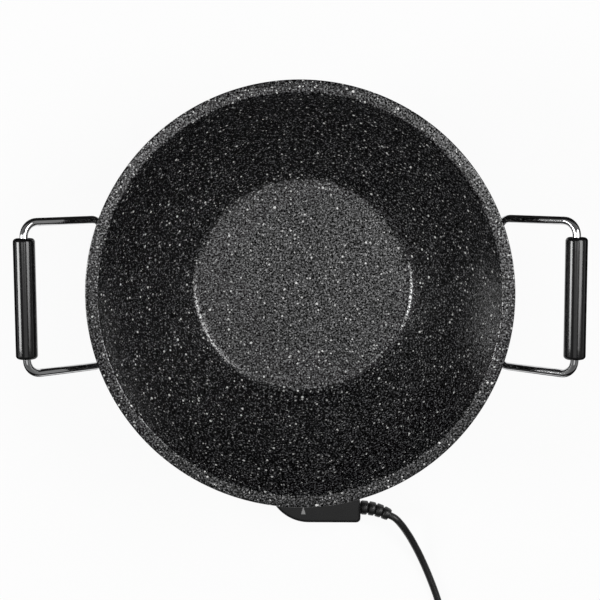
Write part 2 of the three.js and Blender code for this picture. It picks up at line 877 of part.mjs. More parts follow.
// The strain relief leaves the right end along +X and bends toward -Y
function reliefBend(distance) {
  const angle = Math.max(distance, 0) / reliefBendRadius;
  const straight = Math.min(distance, 0);
  return {
    angle,
    x: bodyRightReach + straight + reliefBendRadius * Math.sin(angle),
    y: -reliefDistance - reliefBendRadius * (1 - Math.cos(angle)),
  };
}

function housingHalf(upper) {
  const cavity = prism(housingOutline(housingWall), bodyBottom + housingWall, bodyTop - housingWall);
  const hollow = shaped(housingOuter(), [], [cavity]);
  const seam = plugAxisHeight + (upper ? fit : -fit) / 2;
  const bossEnd = upper ? bodyTop - housingWall / 2 : bodyBottom + housingWall / 2;
  const bosses = screwPlaces.map((at) => rod('z', housingBossRadius, seam, bossEnd, at));
  const bores = screwPlaces.map((at) => {
    const top = bodyBottom + housingScrewReach + fit;
    return rod('z', housingScrewRadius + fit, bodyBottom - overrun, top, at);
  });
  const heads = screwPlaces.map((at) => {
    return rod('z', housingScrewHeadRadius + fit, bodyBottom - overrun, bodyBottom + counterboreDepth, at);
  });
  const relief = rod(
    'x', reliefNeckRadius + fit, bodyRightReach - housingWall - fit, bodyRightReach + overrun,
    [-reliefDistance, plugAxisHeight],
  );
  const spindle = rod('z', spindleRadius + fit, bodyTop - overrun, bodyTop + overrun, [0, -dialDistance]);
  const lens = rod('z', lensRadius + fit, bodyTop - overrun, bodyTop + overrun, [lampOffset, -lampDistance]);
  const reach = bodyFrontDistance + overrun;
  const away = upper
    ? block(-reach, reach, -reach, 0, bodyBottom - overrun, seam)
    : block(-reach, reach, -reach, 0, seam, bodyTop + overrun);
  return shaped(hollow, bosses, [away, ...noseBores(), ...bores, ...heads, relief, spindle, lens]);
}

function housingScrew(at) {
  const headBottom = bodyBottom + counterboreDepth - fit - housingScrewHeadHeight;
  const length = bodyBottom + housingScrewReach - headBottom;
  const body = screw(housingScrewHeadRadius, housingScrewHeadHeight, housingScrewRadius, length);
  return body.translate(at[0], at[1], headBottom);
}

function dial() {
  const crownTop = dialBottom + dialHeight * crownHeightShare;
  const skirtTop = dialBottom + dialSkirtHeight;
  const rounded = (radius, top) => {
    const centre = [radius - dialEdgeRound, top - dialEdgeRound];
    return arcPoints(centre, dialEdgeRound, 0, Math.PI / 2, dialRoundSteps);
  };
  const knob = revolve([
    [0, dialBottom], [dialRadius, dialBottom], ...rounded(dialRadius, skirtTop),
    [dialCrownRadius, skirtTop], ...rounded(dialCrownRadius, crownTop), [0, crownTop],
  ], dialSides);
  const gripEnd = dialCrownRadius - dialEdgeRound;
  const gripTop = dialBottom + dialHeight;
  const grip = prism(roundedBar(dialGripHalfWidth, gripEnd, dialEdgeRound), skirtTop, gripTop);
  const bore = rod('z', spindleRadius + fit, dialBottom - overrun, dialBottom + spindleGrip + fit, [0, 0]);
  return shaped(knob, [grip], [bore]).translate(0, -dialDistance, 0);
}

function dialSpindle() {
  const bottom = bladeLevels[2] + bladeThickness / 2 + fit;
  return rod('z', spindleRadius, bottom, dialBottom + spindleGrip, [0, -dialDistance]);
}

function probe() {
  const length = probeRearDistance - probeTipDistance;
  const body = roundTipped(probeRadius, length, probeRadius * probeTipShare);
  return body.rotateX(-Math.PI / 2).translate(0, -probeRearDistance, plugAxisHeight);
}

// A bent strip: floor, front upright that holds the probe, and an arm over the spindle
function thermostatFrame() {
  const low = frameBottom;
  const high = frameTop;
  const t = frameThickness;
  const armEnd = -frameRearDistance;
  const front = -frameFrontDistance;
  const shape = polygon([
    [armEnd, low], [front, low], [front, high], [armEnd, high],
    [armEnd, high - t], [front - t, high - t], [front - t, low + t], [armEnd, low + t],
  ]);
  const strip = prism(shape, -frameHalfWidth, frameHalfWidth).rotateY(Math.PI / 2).rotateX(Math.PI / 2);
  const probeHole = rod('y', probeRadius + fit, front - overrun, front + overrun, [0, plugAxisHeight]);
  const spindleHole = rod('z', spindleRadius + fit, high - overrun, high + overrun, [0, -dialDistance]);
  return shaped(strip, [], [probeHole, spindleHole]);
}

function ceramicBlock() {
  const back = -ceramicBackDistance;
  const front = back - ceramicLength;
  const body = block(
    -ceramicHalfWidth, ceramicHalfWidth, front, back, ceramicBottom, ceramicBottom + ceramicHeight,
  );
  const slot = bladeHalfWidth + fit;
  const half = bladeThickness / 2 + fit;
  const slots = bladeLevels.map((level) => {
    return block(-slot, slot, front - overrun, back + overrun, level - half, level + half);
  });
  return shaped(body, [], slots);
}

function blade(level, length) {
  const back = -ceramicBackDistance;
  const half = bladeThickness / 2;
  return block(-bladeHalfWidth, bladeHalfWidth, back - length, back, level - half, level + half);
}

function receptacle(side) {
  const body = hollowBar(receptacleRadius, receptacleBore, receptacleLength);
  return alongSouth(body, noseTipDistance + noseFace + fit, side * terminalSpacing / 2);
}

function lampLens() {
  const top = bodyTop - housingWall - fit;
  const low = top - lensFlangeHeight;
  const rim = bodyTop + lensRise * lensTopShare;
  return revolve([
    [0, low], [lensFlangeRadius, low], [lensFlangeRadius, top], [lensRadius, top], [lensRadius, rim],
    [lensRadius * lensTopShare, bodyTop + lensRise], [0, bodyTop + lensRise],
  ]).translate(lampOffset, -lampDistance, 0);
}

function pilotLamp() {
  const top = bodyTop - housingWall - 2 * fit - lensFlangeHeight;
  const body = roundTipped(lampRadius, lampLength, lampRadius * pinTipShare);
  return body.rotateX(Math.PI).translate(lampOffset, -lampDistance, top);
}

// Ribs with V notches between them, turned straight and then bent
function strainRelief() {
  const inner = -housingWall - fit;
  const pitch = (reliefLength - fit) / reliefRibCount;
  const radiusAt = (share) => reliefRadius + (reliefTipRadius - reliefRadius) * share * share;
  const ribs = Array.from({ length: reliefRibCount }, (_, i) => {
    const start = fit + i * pitch;
    const end = start + pitch;
    const last = i === reliefRibCount - 1;
    const radius = radiusAt((i + 1) / reliefRibCount);
    const notch = last ? [] : [[radius - reliefNotchDepth, end]];
    const shoulder = last ? end : end - reliefNotchWidth / 2;
    return [[radius, start + reliefNotchWidth / 2], [radius, shoulder], ...notch];
  }).flat();
  const straight = revolve([
    [0, inner - reliefFlangeLength], [reliefFlangeRadius, inner - reliefFlangeLength],
    [reliefFlangeRadius, inner], [reliefNeckRadius, inner], [reliefNeckRadius, fit],
    [reliefRadius - reliefNotchDepth / 2, fit],
    ...ribs, [0, reliefLength],
  ]).rotateY(Math.PI / 2);
  const position = straight.attributes.position;
  for (let i = 0; i < position.count; i += 1) {
    const at = reliefBend(position.getX(i));
    const across = position.getY(i);
    position.setX(i, at.x + across * Math.sin(at.angle));
    position.setY(i, at.y + across * Math.cos(at.angle));
    position.setZ(i, position.getZ(i) + plugAxisHeight);
  }
  return straight;
}

// Mains cord

// The free stretch leaves the strain relief, sinks to the table and runs toward the coil
const cordRoute = [
  [93.2, -231.4, 20.6], [97.9, -239, 16.6], [103, -248, 13], [111.3, -265, 7.6],
  [120.2, -286, 4.2], [129.2, -311, 3.5], [135.6, -337, 3.5], [137.8, -352, 3.5], [138, -360.9, 3.5],
];

function freeCord() {
  const exit = reliefBend(reliefLength);
  const away = new THREE.Vector3(Math.cos(exit.angle), -Math.sin(exit.angle), 0);
  const end = new THREE.Vector3(exit.x, exit.y, plugAxisHeight);
  const start = end.clone().addScaledVector(away, fit);
  const straight = start.clone().addScaledVector(away, 2 * cordRadius);
  const route = cordRoute.map((at) => new THREE.Vector3(...at));
  return tube(new THREE.CatmullRomCurve3([start, straight, ...route]), cordRadius, cordSides, cordSteps);
}

// A point of the coil after so many turns: in on the lower layer, up, and out on the upper one
function coilPoint(turns) {
  const climbEnd = coilTurnsIn + coilClimbTurns;
  const innerRadius = coilRadius - coilPitch * coilTurnsIn;
  const inward = coilRadius - coilPitch * Math.min(turns, coilTurnsIn);
  const radius = turns < climbEnd ? inward : innerRadius + coilPitch * (turns - climbEnd);
  const climb = THREE.MathUtils.smoothstep(turns, coilTurnsIn, climbEnd);
  const angle = -2 * Math.PI * turns;
  return new THREE.Vector3(
    coilCentre[0] + radius * Math.cos(angle),
    coilCentre[1] + radius * Math.sin(angle),
    cordTableHeight + coilLayerRise * climb,
  );
}

// The whole run of the coil: a straight start, the loops, and the tail up to the plug
function coilRun() {
  const turns = coilTurnsIn + coilClimbTurns + coilTurnsOut;
  const steps = turns * coilStepsPerTurn;
  const diameter = 2 * cordRadius;
  const loops = Array.from({ length: steps + 1 }, (_, i) => coilPoint(turns * i / steps));
  const first = loops[0].clone().add(new THREE.Vector3(0, diameter, 0));
  const last = loops[steps];
  const tailEnd = -plugRearDistance + fit;
  const tailStart = last.y - diameter;
  const tailSteps = 8;
  const tail = Array.from({ length: tailSteps + 1 }, (_, i) => {
    const share = i / tailSteps;
    const climb = THREE.MathUtils.smoothstep(share, 0, 1);
    const y = THREE.MathUtils.lerp(tailStart, tailEnd + diameter, share);
    return new THREE.Vector3(last.x, y, THREE.MathUtils.lerp(last.z, plugAxis, climb));
  });
  return [first, ...loops, ...tail, new THREE.Vector3(last.x, tailEnd, plugAxis)];
}

// A closed tube with one ring of corners at each point of a run
function tubeOnPoints(run, radius, sides) {
  const positions = [];
  const faces = [];
  const up = new THREE.Vector3(0, 0, 1);
  run.forEach((point, i) => {
    const before = run[Math.max(i - 1, 0)];
    const after = run[Math.min(i + 1, run.length - 1)];
    const along = after.clone().sub(before).normalize();
    const across = along.clone().cross(up).normalize();
    const above = across.clone().cross(along);
    for (let k = 0; k < sides; k += 1) {
      const angle = 2 * Math.PI * k / sides;
      const corner = point.clone().addScaledVector(across, radius * Math.cos(angle));
      positions.push(...corner.addScaledVector(above, radius * Math.sin(angle)));
    }
  });
  for (let i = 0; i + 1 < run.length; i += 1) {
    for (let k = 0; k < sides; k += 1) {
      const a = i * sides + k;
      const b = i * sides + (k + 1) % sides;
      faces.push(a, b, b + sides, a, b + sides, a + sides);
    }
  }
  const lastRing = (run.length - 1) * sides;
  for (let k = 1; k + 1 < sides; k += 1) {
    faces.push(0, k + 1, k, lastRing, lastRing + k, lastRing + k + 1);
  }
  const geometry = new THREE.BufferGeometry();
  geometry.setAttribute('position', new THREE.Float32BufferAttribute(positions, 3));
  geometry.setIndex(faces);
  return geometry;
}

// The least clear distance between parts of a run that are half a turn or more apart
function leastGap(run, radius, apart) {
  let least = Infinity;
  for (let i = 0; i < run.length; i += 1) {
    for (let k = i + apart; k < run.length; k += 1) {
      least = Math.min(least, run[i].distanceTo(run[k]) - 2 * radius);
    }
  }
  return least;
}

function cordCoil() {
  const run = coilRun();
  const gap = leastGap(run, cordRadius, coilStepsPerTurn / 2);
  console.log(`least gap of the coil to itself: ${gap.toFixed(2)} mm`);
  return tubeOnPoints(run, cordRadius, coilSides);
}

const plugX = coilPoint(coilTurnsIn + coilClimbTurns + coilTurnsOut).x;

function plugBody() {
  const length = plugSleeveLength + plugBodyLength;
  const faceStart = length - plugFaceLength;
  const body = revolve([
    [0, 0], [plugSleeveRadius, 0], [plugSleeveRadius, plugSleeveLength],
    [plugRadius * plugShoulderShare, plugSleeveLength + plugBevel],
    [plugRadius - plugBevel, faceStart - plugBevel],
    [plugRadius, faceStart], [plugRadius, length], [0, length],
  ], 2 * rodSides).rotateX(Math.PI / 2);
  const bores = [-1, 1].map((side) => {
    const seat = -length + plugPinSeat + fit;
    return rod('y', plugPinRadius + fit, -length - overrun, seat, [side * plugPinSpacing / 2, 0]);
  });
  const notches = [-1, 1].map((side) => {
    const bottom = side * (plugRadius - plugNotchDepth);
    const outside = side * (plugRadius + overrun);
    const low = Math.min(bottom, outside);
    const high = Math.max(bottom, outside);
    const back = -faceStart - plugBevel;
    return block(-plugNotchHalfWidth, plugNotchHalfWidth, -length - overrun, back, low, high);
  });
  return shaped(body, [], [...bores, ...notches]).translate(plugX, -plugRearDistance, plugAxis);
}

function plugPin(side) {
  const face = plugRearDistance + plugSleeveLength + plugBodyLength;
  const tip = plugPinRadius * pinTipShare;
  const body = roundTipped(plugPinRadius, plugPinLength + plugPinSeat, tip);
  return body.rotateX(Math.PI / 2).translate(
    plugX + side * plugPinSpacing / 2, -face + plugPinSeat, plugAxis,
  );
}

// Assembly

const wok = new THREE.Group();
wok.add(
  piece('bowl', bowl(), ...coating),
  piece('heating_element', element(), ...steel),
  piece('terminal_pin_left', terminalPin(-1), ...chrome),
  piece('terminal_pin_right', terminalPin(1), ...chrome),
  piece('sensor_guide', sensorGuide(), ...steel),
  piece('socket_shroud', socketShroud(), ...steel),
  piece('base_shell', baseShell(), ...blackPlastic),
  piece('base_cover', baseCover(), ...steel),
  ...spacedRound(baseScrewCount, baseScrewCircle).map((at, i) => {
    return piece(`base_screw_${i + 1}`, baseScrew(at), ...steel);
  }),
  ...spacedRound(footCount, footCircle).map((at, i) => piece(`foot_${i + 1}`, foot(at), ...rubber)),
  handle('right', 0),
  handle('left', Math.PI),
);

const control = new THREE.Group();
control.add(
  piece('control_top_shell', housingHalf(true), ...blackPlastic),
  piece('control_bottom_shell', housingHalf(false), ...blackPlastic),
  ...screwPlaces.map((at, i) => piece(`control_screw_${i + 1}`, housingScrew(at), ...steel)),
  piece('temperature_dial', dial(), ...blackPlastic),
  piece('dial_spindle', dialSpindle(), ...steel),
  piece('probe_tube', probe(), ...chrome),
  piece('thermostat_frame', thermostatFrame(), ...steel),
  piece('ceramic_block', ceramicBlock(), ...ceramic),
  piece('contact_arm_lower', blade(bladeLevels[0], armLength), ...brass),
  piece('contact_arm_upper', blade(bladeLevels[1], armLength), ...brass),
  piece('bimetal_blade', blade(bladeLevels[2], bladeLength), ...steel),
  piece('pin_receptacle_left', receptacle(-1), ...brass),
  piece('pin_receptacle_right', receptacle(1), ...brass),
  piece('pilot_lamp', pilotLamp(), ...lampGlass),
  piece('lamp_lens', lampLens(), ...lensRed),
  piece('strain_relief', strainRelief(), ...rubber),
);

const cord = new THREE.Group();
cord.add(
  piece('cord_free', freeCord(), ...rubber),
  piece('cord_coil', cordCoil(), ...rubber),
  piece('plug_body', plugBody(), ...blackPlastic),
  piece('plug_pin_left', plugPin(-1), ...steel),
  piece('plug_pin_right', plugPin(1), ...steel),
);

// The origin is on the table, below the middle of the wok with its control
const group = new THREE.Group();
group.position.y = originShift;
group.add(wok, control, cord);

export default group;
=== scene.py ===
"""Electric wok with wire handles and a plug-in temperature control.

Shapes are worked out in millimetres from the wok's axis, with the table at height 0, and stored in metres.
"""
import math

import bmesh
import bpy
import numpy as np
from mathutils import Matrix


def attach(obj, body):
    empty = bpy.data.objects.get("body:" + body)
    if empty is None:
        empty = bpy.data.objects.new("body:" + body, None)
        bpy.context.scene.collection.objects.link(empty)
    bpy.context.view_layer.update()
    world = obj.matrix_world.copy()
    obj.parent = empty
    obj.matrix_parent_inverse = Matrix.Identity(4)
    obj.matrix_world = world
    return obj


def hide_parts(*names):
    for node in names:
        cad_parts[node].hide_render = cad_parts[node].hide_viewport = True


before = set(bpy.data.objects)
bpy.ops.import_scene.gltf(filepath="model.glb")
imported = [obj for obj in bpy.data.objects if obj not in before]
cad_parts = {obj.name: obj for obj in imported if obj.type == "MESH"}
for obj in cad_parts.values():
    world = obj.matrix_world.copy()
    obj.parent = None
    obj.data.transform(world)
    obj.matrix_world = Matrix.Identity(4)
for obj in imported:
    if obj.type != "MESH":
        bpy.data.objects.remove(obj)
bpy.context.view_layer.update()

AXIS_Y = 21.75          # the wok's axis stands this far behind the origin
RIGHT = math.pi / 2     # a right angle
DOWN = -RIGHT           # where an arc's lowest point lies, or the control's side


def placed(points):
    """Millimetres from the wok's axis to metres from the origin."""
    return (np.asarray(points, float) + (0, AXIS_Y, 0)) / 1000


def shown(name, data):
    """A new object in the scene from a mesh, curve, lamp or camera."""
    made = bpy.data.objects.new(name, data)
    bpy.context.scene.collection.objects.link(made)
    return made


# ---------------- camera

# it hangs 1.24 m over the table, 12 cm behind the wok's axis, and looks almost straight down
camera = shown("camera", bpy.data.cameras.new("camera"))
camera.location = (0.0304597, 0.1418267, 1.2360488)
camera.rotation_euler = (-0.1116673, 0.0269414, -0.0037503)
camera.data.sensor_width = 36
camera.data.lens = 78.8374
camera.data.clip_end = 100
bpy.context.scene.camera = camera


# ---------------- shapes

def turn_angles(sides):
    """The angles of so many equal steps of one turn, from 0."""
    return np.arange(sides) * 2 * math.pi / sides


def arc(centre, radius, start, end, steps):
    """Points on a circle from one angle to another: centre + radius (cos, sin)."""
    angle = np.linspace(start, end, steps + 1)
    return np.stack([centre[0] + radius * np.cos(angle), centre[1] + radius * np.sin(angle)], -1)


def skin(name, rings, looped=False, breaks=(), crease=40):
    """A closed surface through rings of points, rings[i, k] being point k of ring i.

    Each ring is closed on itself. The end rings are drawn in to their middles, or joined where looped.
    The strip after each ring in breaks is left out.
    """
    rings = np.asarray(rings, float)
    if not looped:
        ends = [np.broadcast_to(rings[i].mean(0), rings[i].shape)[None] for i in (0, -1)]
        rings = np.concatenate([ends[0], rings, ends[1]])
    count, around = rings.shape[:2]
    strips = np.array([i for i in range(count if looped else count - 1) if i not in breaks])
    i, k = np.meshgrid(strips, np.arange(around), indexing="ij")
    near, far, turn = i * around, (i + 1) % count * around, (k + 1) % around
    faces = np.stack([near + k, near + turn, far + turn, far + k], -1).reshape(-1, 4)
    return from_faces(name, rings.reshape(-1, 3), faces, crease)


def from_faces(name, points, faces, crease=40):
    """A mesh object of these points and faces, its doubles merged and its faces turned outward."""
    mesh = bpy.data.meshes.new(name)
    mesh.from_pydata(placed(points).tolist(), [], np.asarray(faces).tolist())
    work = bmesh.new()
    work.from_mesh(mesh)
    bmesh.ops.remove_doubles(work, verts=work.verts, dist=2e-6)
    bmesh.ops.delete(work, geom=[v for v in work.verts if not v.link_faces], context="VERTS")
    bmesh.ops.recalc_face_normals(work, faces=work.faces)
    work.to_mesh(mesh)
    work.free()
    made = shown(name, mesh)
    smooth(made, crease)
    return made


def smooth(made, crease):
    """Smooth shading, but for edges sharper than crease degrees."""
    made.data.shade_smooth()
    made.data.set_sharp_from_angle(angle=math.radians(crease))


def turned(profile, sides, at=(0, 0)):
    """Rings of a lathed form: (radius, height) turned round an upright axis."""
    profile = np.asarray(profile, float)
    angle = turn_angles(sides)
    radius, height = profile[:, :1], profile[:, 1:]
    x = at[0] + radius * np.cos(angle)
    y = at[1] + radius * np.sin(angle)
    return np.stack([x, y, np.broadcast_to(height, x.shape)], -1)


def round_axis(radius, distance, start, along, up, sides):
    """Rings about the line start + distance * along, with a radius and a distance for each ring or each point."""
    along, up = np.asarray(along, float), np.asarray(up, float)
    angle = turn_angles(sides)[:, None]
    ring = np.cos(angle) * np.cross(along, up) + np.sin(angle) * up
    return np.asarray(start) + distance[..., None] * along + radius[..., None] * ring


def turned_along(profile, start, along, up, sides):
    """Rings of a lathed form on a sloping axis: (radius, distance) turned round start + distance * along."""
    profile = np.asarray(profile, float)
    return round_axis(profile[:, :1], profile[:, 1:], start, along, up, sides)


def carried(section, path, level):
    """Rings of a section (across, level) carried along a flat path.

    level is the direction square to the path's plane, and across is the path's direction times level.
    """
    path, level = np.asarray(path, float), np.asarray(level, float)
    along = np.gradient(path, axis=0)
    along /= np.linalg.norm(along, axis=1)[:, None]
    across = np.cross(along, level)
    section = np.asarray(section, float)
    return path[:, None] + section[:, 0][None, :, None] * across[:, None] + section[:, 1][None, :, None] * level


def round_section(radius, sides):
    """Points of a circle about the origin."""
    return arc((0, 0), radius, 0, 2 * math.pi, sides)[:-1]


def bar_section(half_width, half_height, corner, steps=5):
    """A rectangle with rounded corners."""
    x, y = half_width - corner, half_height - corner
    return np.concatenate([
        arc((across, up), corner, quarter * RIGHT, (quarter + 1) * RIGHT, steps)
        for quarter, (across, up) in enumerate(((x, y), (-x, y), (-x, -y), (x, -y)))
    ])


def at_height(outline, height):
    """A flat outline's points, all at one height."""
    return np.concatenate([outline, np.full((len(outline), 1), height)], 1)


def spaced_round(count, radius):
    """Places of equal parts on a circle, the first half a step past +X."""
    angle = 2 * math.pi * (np.arange(count) + 0.5) / count
    return np.stack([radius * np.cos(angle), radius * np.sin(angle)], -1)


def bored(made, *cutters):
    """Takes the cutters' forms out of a piece."""
    for cutter in cutters:
        cut = made.modifiers.new("bore", "BOOLEAN")
        cut.operation, cut.solver, cut.object = "DIFFERENCE", "EXACT", cutter
    view = bpy.context.evaluated_depsgraph_get()
    cleaned = bpy.data.meshes.new_from_object(made.evaluated_get(view))
    made.modifiers.clear()
    made.data = cleaned
    for cutter in cutters:
        bpy.data.objects.remove(cutter)
    smooth(made, 40)
    return made


# ---------------- materials

def linear(code):
    """An sRGB colour such as 1b1b1d to linear red, green, blue and 1."""
    srgb = np.array([int(code[i:i + 2], 16) for i in (0, 2, 4)]) / 255
    return (*np.where(srgb <= 0.04045, srgb / 12.92, ((srgb + 0.055) / 1.055) ** 2.4), 1)


def add(tree, kind, inputs=(), **settings):
    """Adds a node. An input given as (node, output) is linked, and any other is set on the socket."""
    made = tree.nodes.new(kind)
    for key, value in settings.items():
        setattr(made, key, value)
    for key, value in dict(inputs).items():
        if isinstance(value, tuple) and isinstance(value[0], bpy.types.Node):
            tree.links.new(value[0].outputs[value[1]], made.inputs[key])
        else:
            made.inputs[key].default_value = value
    return made


def emptied(owner):
    """The node tree of a material or world, with nothing in it."""
    owner.use_nodes = True
    owner.node_tree.nodes.clear()
    return owner.node_tree


def material(name, **shader):
    """A material with an empty tree but for its shader and output; settings go on the shader's sockets."""
    made = bpy.data.materials.new(name)
    tree = emptied(made)
    inputs = {key.replace("_", " "): value for key, value in shader.items()}
    surface = add(tree, "ShaderNodeBsdfPrincipled", inputs)
    add(tree, "ShaderNodeOutputMaterial", {"Surface": (surface, "BSDF")})
    place = add(tree, "ShaderNodeTexCoord")
    return made, tree, surface, (place, "Object")


def per_mm(size):
    """The scale of a pattern on metres whose features are so many millimetres apart."""
    return 1000 / size


def ramp(tree, factor, *stops):
    """A colour ramp with (position, hex colour) stops."""
    made = add(tree, "ShaderNodeValToRGB", {"Fac": factor})
    elements = made.color_ramp.elements
    for position, code in stops[2:]:
        elements.new(position)
    for element, (position, code) in zip(elements, sorted(stops)):
        element.position, element.color = position, linear(code)
    return made


def link(tree, source, surface, socket):
    """Links a (node, output) to a socket of the surface's shader."""
    tree.links.new(source[0].outputs[source[1]], surface.inputs[socket])


def bumped(tree, surface, height, depth_mm):
    """Relief of a given depth in millimetres from a height pattern."""
    bump = add(tree, "ShaderNodeBump", {"Height": height, "Distance": depth_mm / 1000})
    link(tree, (bump, "Normal"), surface, "Normal")


def textured(tree, surface, pattern, low, high, depth_mm):
    """Roughness from low to high and relief of a given depth, both from one noise."""
    shine = add(tree, "ShaderNodeMapRange", {"Value": (pattern, "Fac"), "To Min": low, "To Max": high})
    link(tree, (shine, "Result"), surface, "Roughness")
    bumped(tree, surface, (pattern, "Fac"), depth_mm)


def mix(tree, factor, under, over):
    """Lays a hex colour over a linked one, by a linked factor."""
    made = add(tree, "ShaderNodeMix", {0: factor, 6: under, 7: linear(over)}, data_type="RGBA")
    return made, 2


def granite_coating():
    """Cast aluminium under a sprayed and baked non-stick coating: near black, satin and gritty, with pale flecks."""
    made, tree, surface, place = material("sprayed_granite_nonstick", IOR=1.53)
    # the spray leaves flecks of 0.5 to 1.7 mm with ragged edges, so the places are pushed about a little
    ragged = add(tree, "ShaderNodeTexNoise", {"Vector": place, "Scale": per_mm(0.8), "Detail": 1.0})
    shaken = add(tree, "ShaderNodeMix", {0: 0.0009, 4: place, 5: (ragged, "Color")}, data_type="VECTOR")
    grain = add(tree, "ShaderNodeTexNoise", {"Vector": place, "Scale": per_mm(1.5), "Detail": 1.0, "Roughness": 0.5})
    grit = add(tree, "ShaderNodeMapRange", {"Value": (grain, "Fac"), "From Min": 0.36, "From Max": 0.66})
    tone = ramp(tree, (grit, "Result"), (0.30, "010101"), (0.55, "040405"), (0.75, "161618"), (1.0, "606062"))
    # the pits between the grains hardly gleam, the grains gleam more, and the flecks most
    level = add(tree, "ShaderNodeMapRange", {"Value": (grit, "Result"), "To Min": 0.0, "To Max": 1.4})
    colour, gloss = (tone, "Color"), (level, "Result")
    # pitch between flecks in mm, fleck radius as a share of the pitch, share of places with a fleck, colour
    for pitch, size, share, code in (
        (1.6, 0.26, 0.30, "4c4c4e"), (2.4, 0.22, 0.40, "808080"),
        (3.6, 0.18, 0.42, "bcbcba"), (6.2, 0.13, 0.50, "e8e8e6"),
    ):
        cells = add(tree, "ShaderNodeTexVoronoi", {"Vector": (shaken, 1), "Scale": per_mm(pitch), "Randomness": 1.0})
        lot = add(tree, "ShaderNodeSeparateColor", {"Color": (cells, "Color")})
        radius = add(tree, "ShaderNodeMath", {0: (lot, "Green"), 1: size}, operation="MULTIPLY")
        wide = add(tree, "ShaderNodeMath", {0: (radius, 0), 1: size * 0.45}, operation="ADD")
        inside = add(tree, "ShaderNodeMath", {0: (cells, "Distance"), 1: (wide, 0)}, operation="LESS_THAN")
        chosen = add(tree, "ShaderNodeMath", {0: (lot, "Red"), 1: share}, operation="LESS_THAN")
        fleck = add(tree, "ShaderNodeMath", {0: (inside, 0), 1: (chosen, 0)}, operation="MULTIPLY")
        colour = mix(tree, (fleck, 0), colour, code)
        brighter = add(tree, "ShaderNodeMath", {0: (fleck, 0), 1: 1.3, 2: gloss}, operation="MULTIPLY_ADD")
        gloss = (brighter, 0)
    link(tree, colour, surface, "Base Color")
    shine = add(tree, "ShaderNodeMapRange", {"Value": (grit, "Result"), "To Min": 0.27, "To Max": 0.22})
    link(tree, (shine, "Result"), surface, "Roughness")
    link(tree, gloss, surface, "Specular IOR Level")
    bumped(tree, surface, (grit, "Result"), 0.03)
    return made


def chrome_wire():
    """Drawn steel wire, polished and chrome plated: mirror bright, with faint drawing waves."""
    made, tree, surface, place = material("plated_drawn_wire", Metallic=1.0)
    waves = add(tree, "ShaderNodeTexNoise", {"Vector": place, "Scale": per_mm(9), "Detail": 2.0})
    tone = ramp(tree, (waves, "Fac"), (0.3, "cececf"), (0.7, "dadadb"))
    link(tree, (tone, "Color"), surface, "Base Color")
    textured(tree, surface, waves, 0.04, 0.11, 0.012)
    return made


def moulded(name, code, pale, low, high, pitch, depth, **shader):
    """Moulded plastic or rubber: one colour with a faint cloud of a paler one, and the tool's fine texture.

    low and high bound the roughness; pitch and depth are the texture's, in mm.
    """
    made, tree, surface, place = material(name, **shader)
    cloud = add(tree, "ShaderNodeTexNoise", {"Vector": place, "Scale": per_mm(14), "Detail": 2.0})
    tone = ramp(tree, (cloud, "Fac"), (0.35, code), (0.75, pale))
    link(tree, (tone, "Color"), surface, "Base Color")
    texture = add(tree, "ShaderNodeTexNoise", {"Vector": place, "Scale": per_mm(pitch), "Detail": 3.0})
    textured(tree, surface, texture, low, high, depth)
    return made


def worked_metal(name, code, pale, low, high, stretch):
    """Bare or plated metal with marks of its making, drawn out along one axis by stretch."""
    made, tree, surface, place = material(name, Metallic=1.0)
    along = add(tree, "ShaderNodeMapping", {"Vector": place, "Scale": stretch})
    marks = add(tree, "ShaderNodeTexNoise", {"Vector": (along, "Vector"), "Scale": per_mm(0.8), "Detail": 3.0})
    tone = ramp(tree, (marks, "Fac"), (0.3, code), (0.7, pale))
    link(tree, (tone, "Color"), surface, "Base Color")
    textured(tree, surface, marks, low, high, 0.02)
    return made


def clear_plastic(name, code, roughness, ior):
    """Clear or tinted moulding that light passes through, faintly uneven."""
    made, tree, surface, place = material(
        name, Base_Color=linear(code), Roughness=roughness, IOR=ior, Transmission_Weight=0.75,
    )
    flow = add(tree, "ShaderNodeTexNoise", {"Vector": place, "Scale": per_mm(2.5)})
    bumped(tree, surface, (flow, "Fac"), 0.02)
    return made


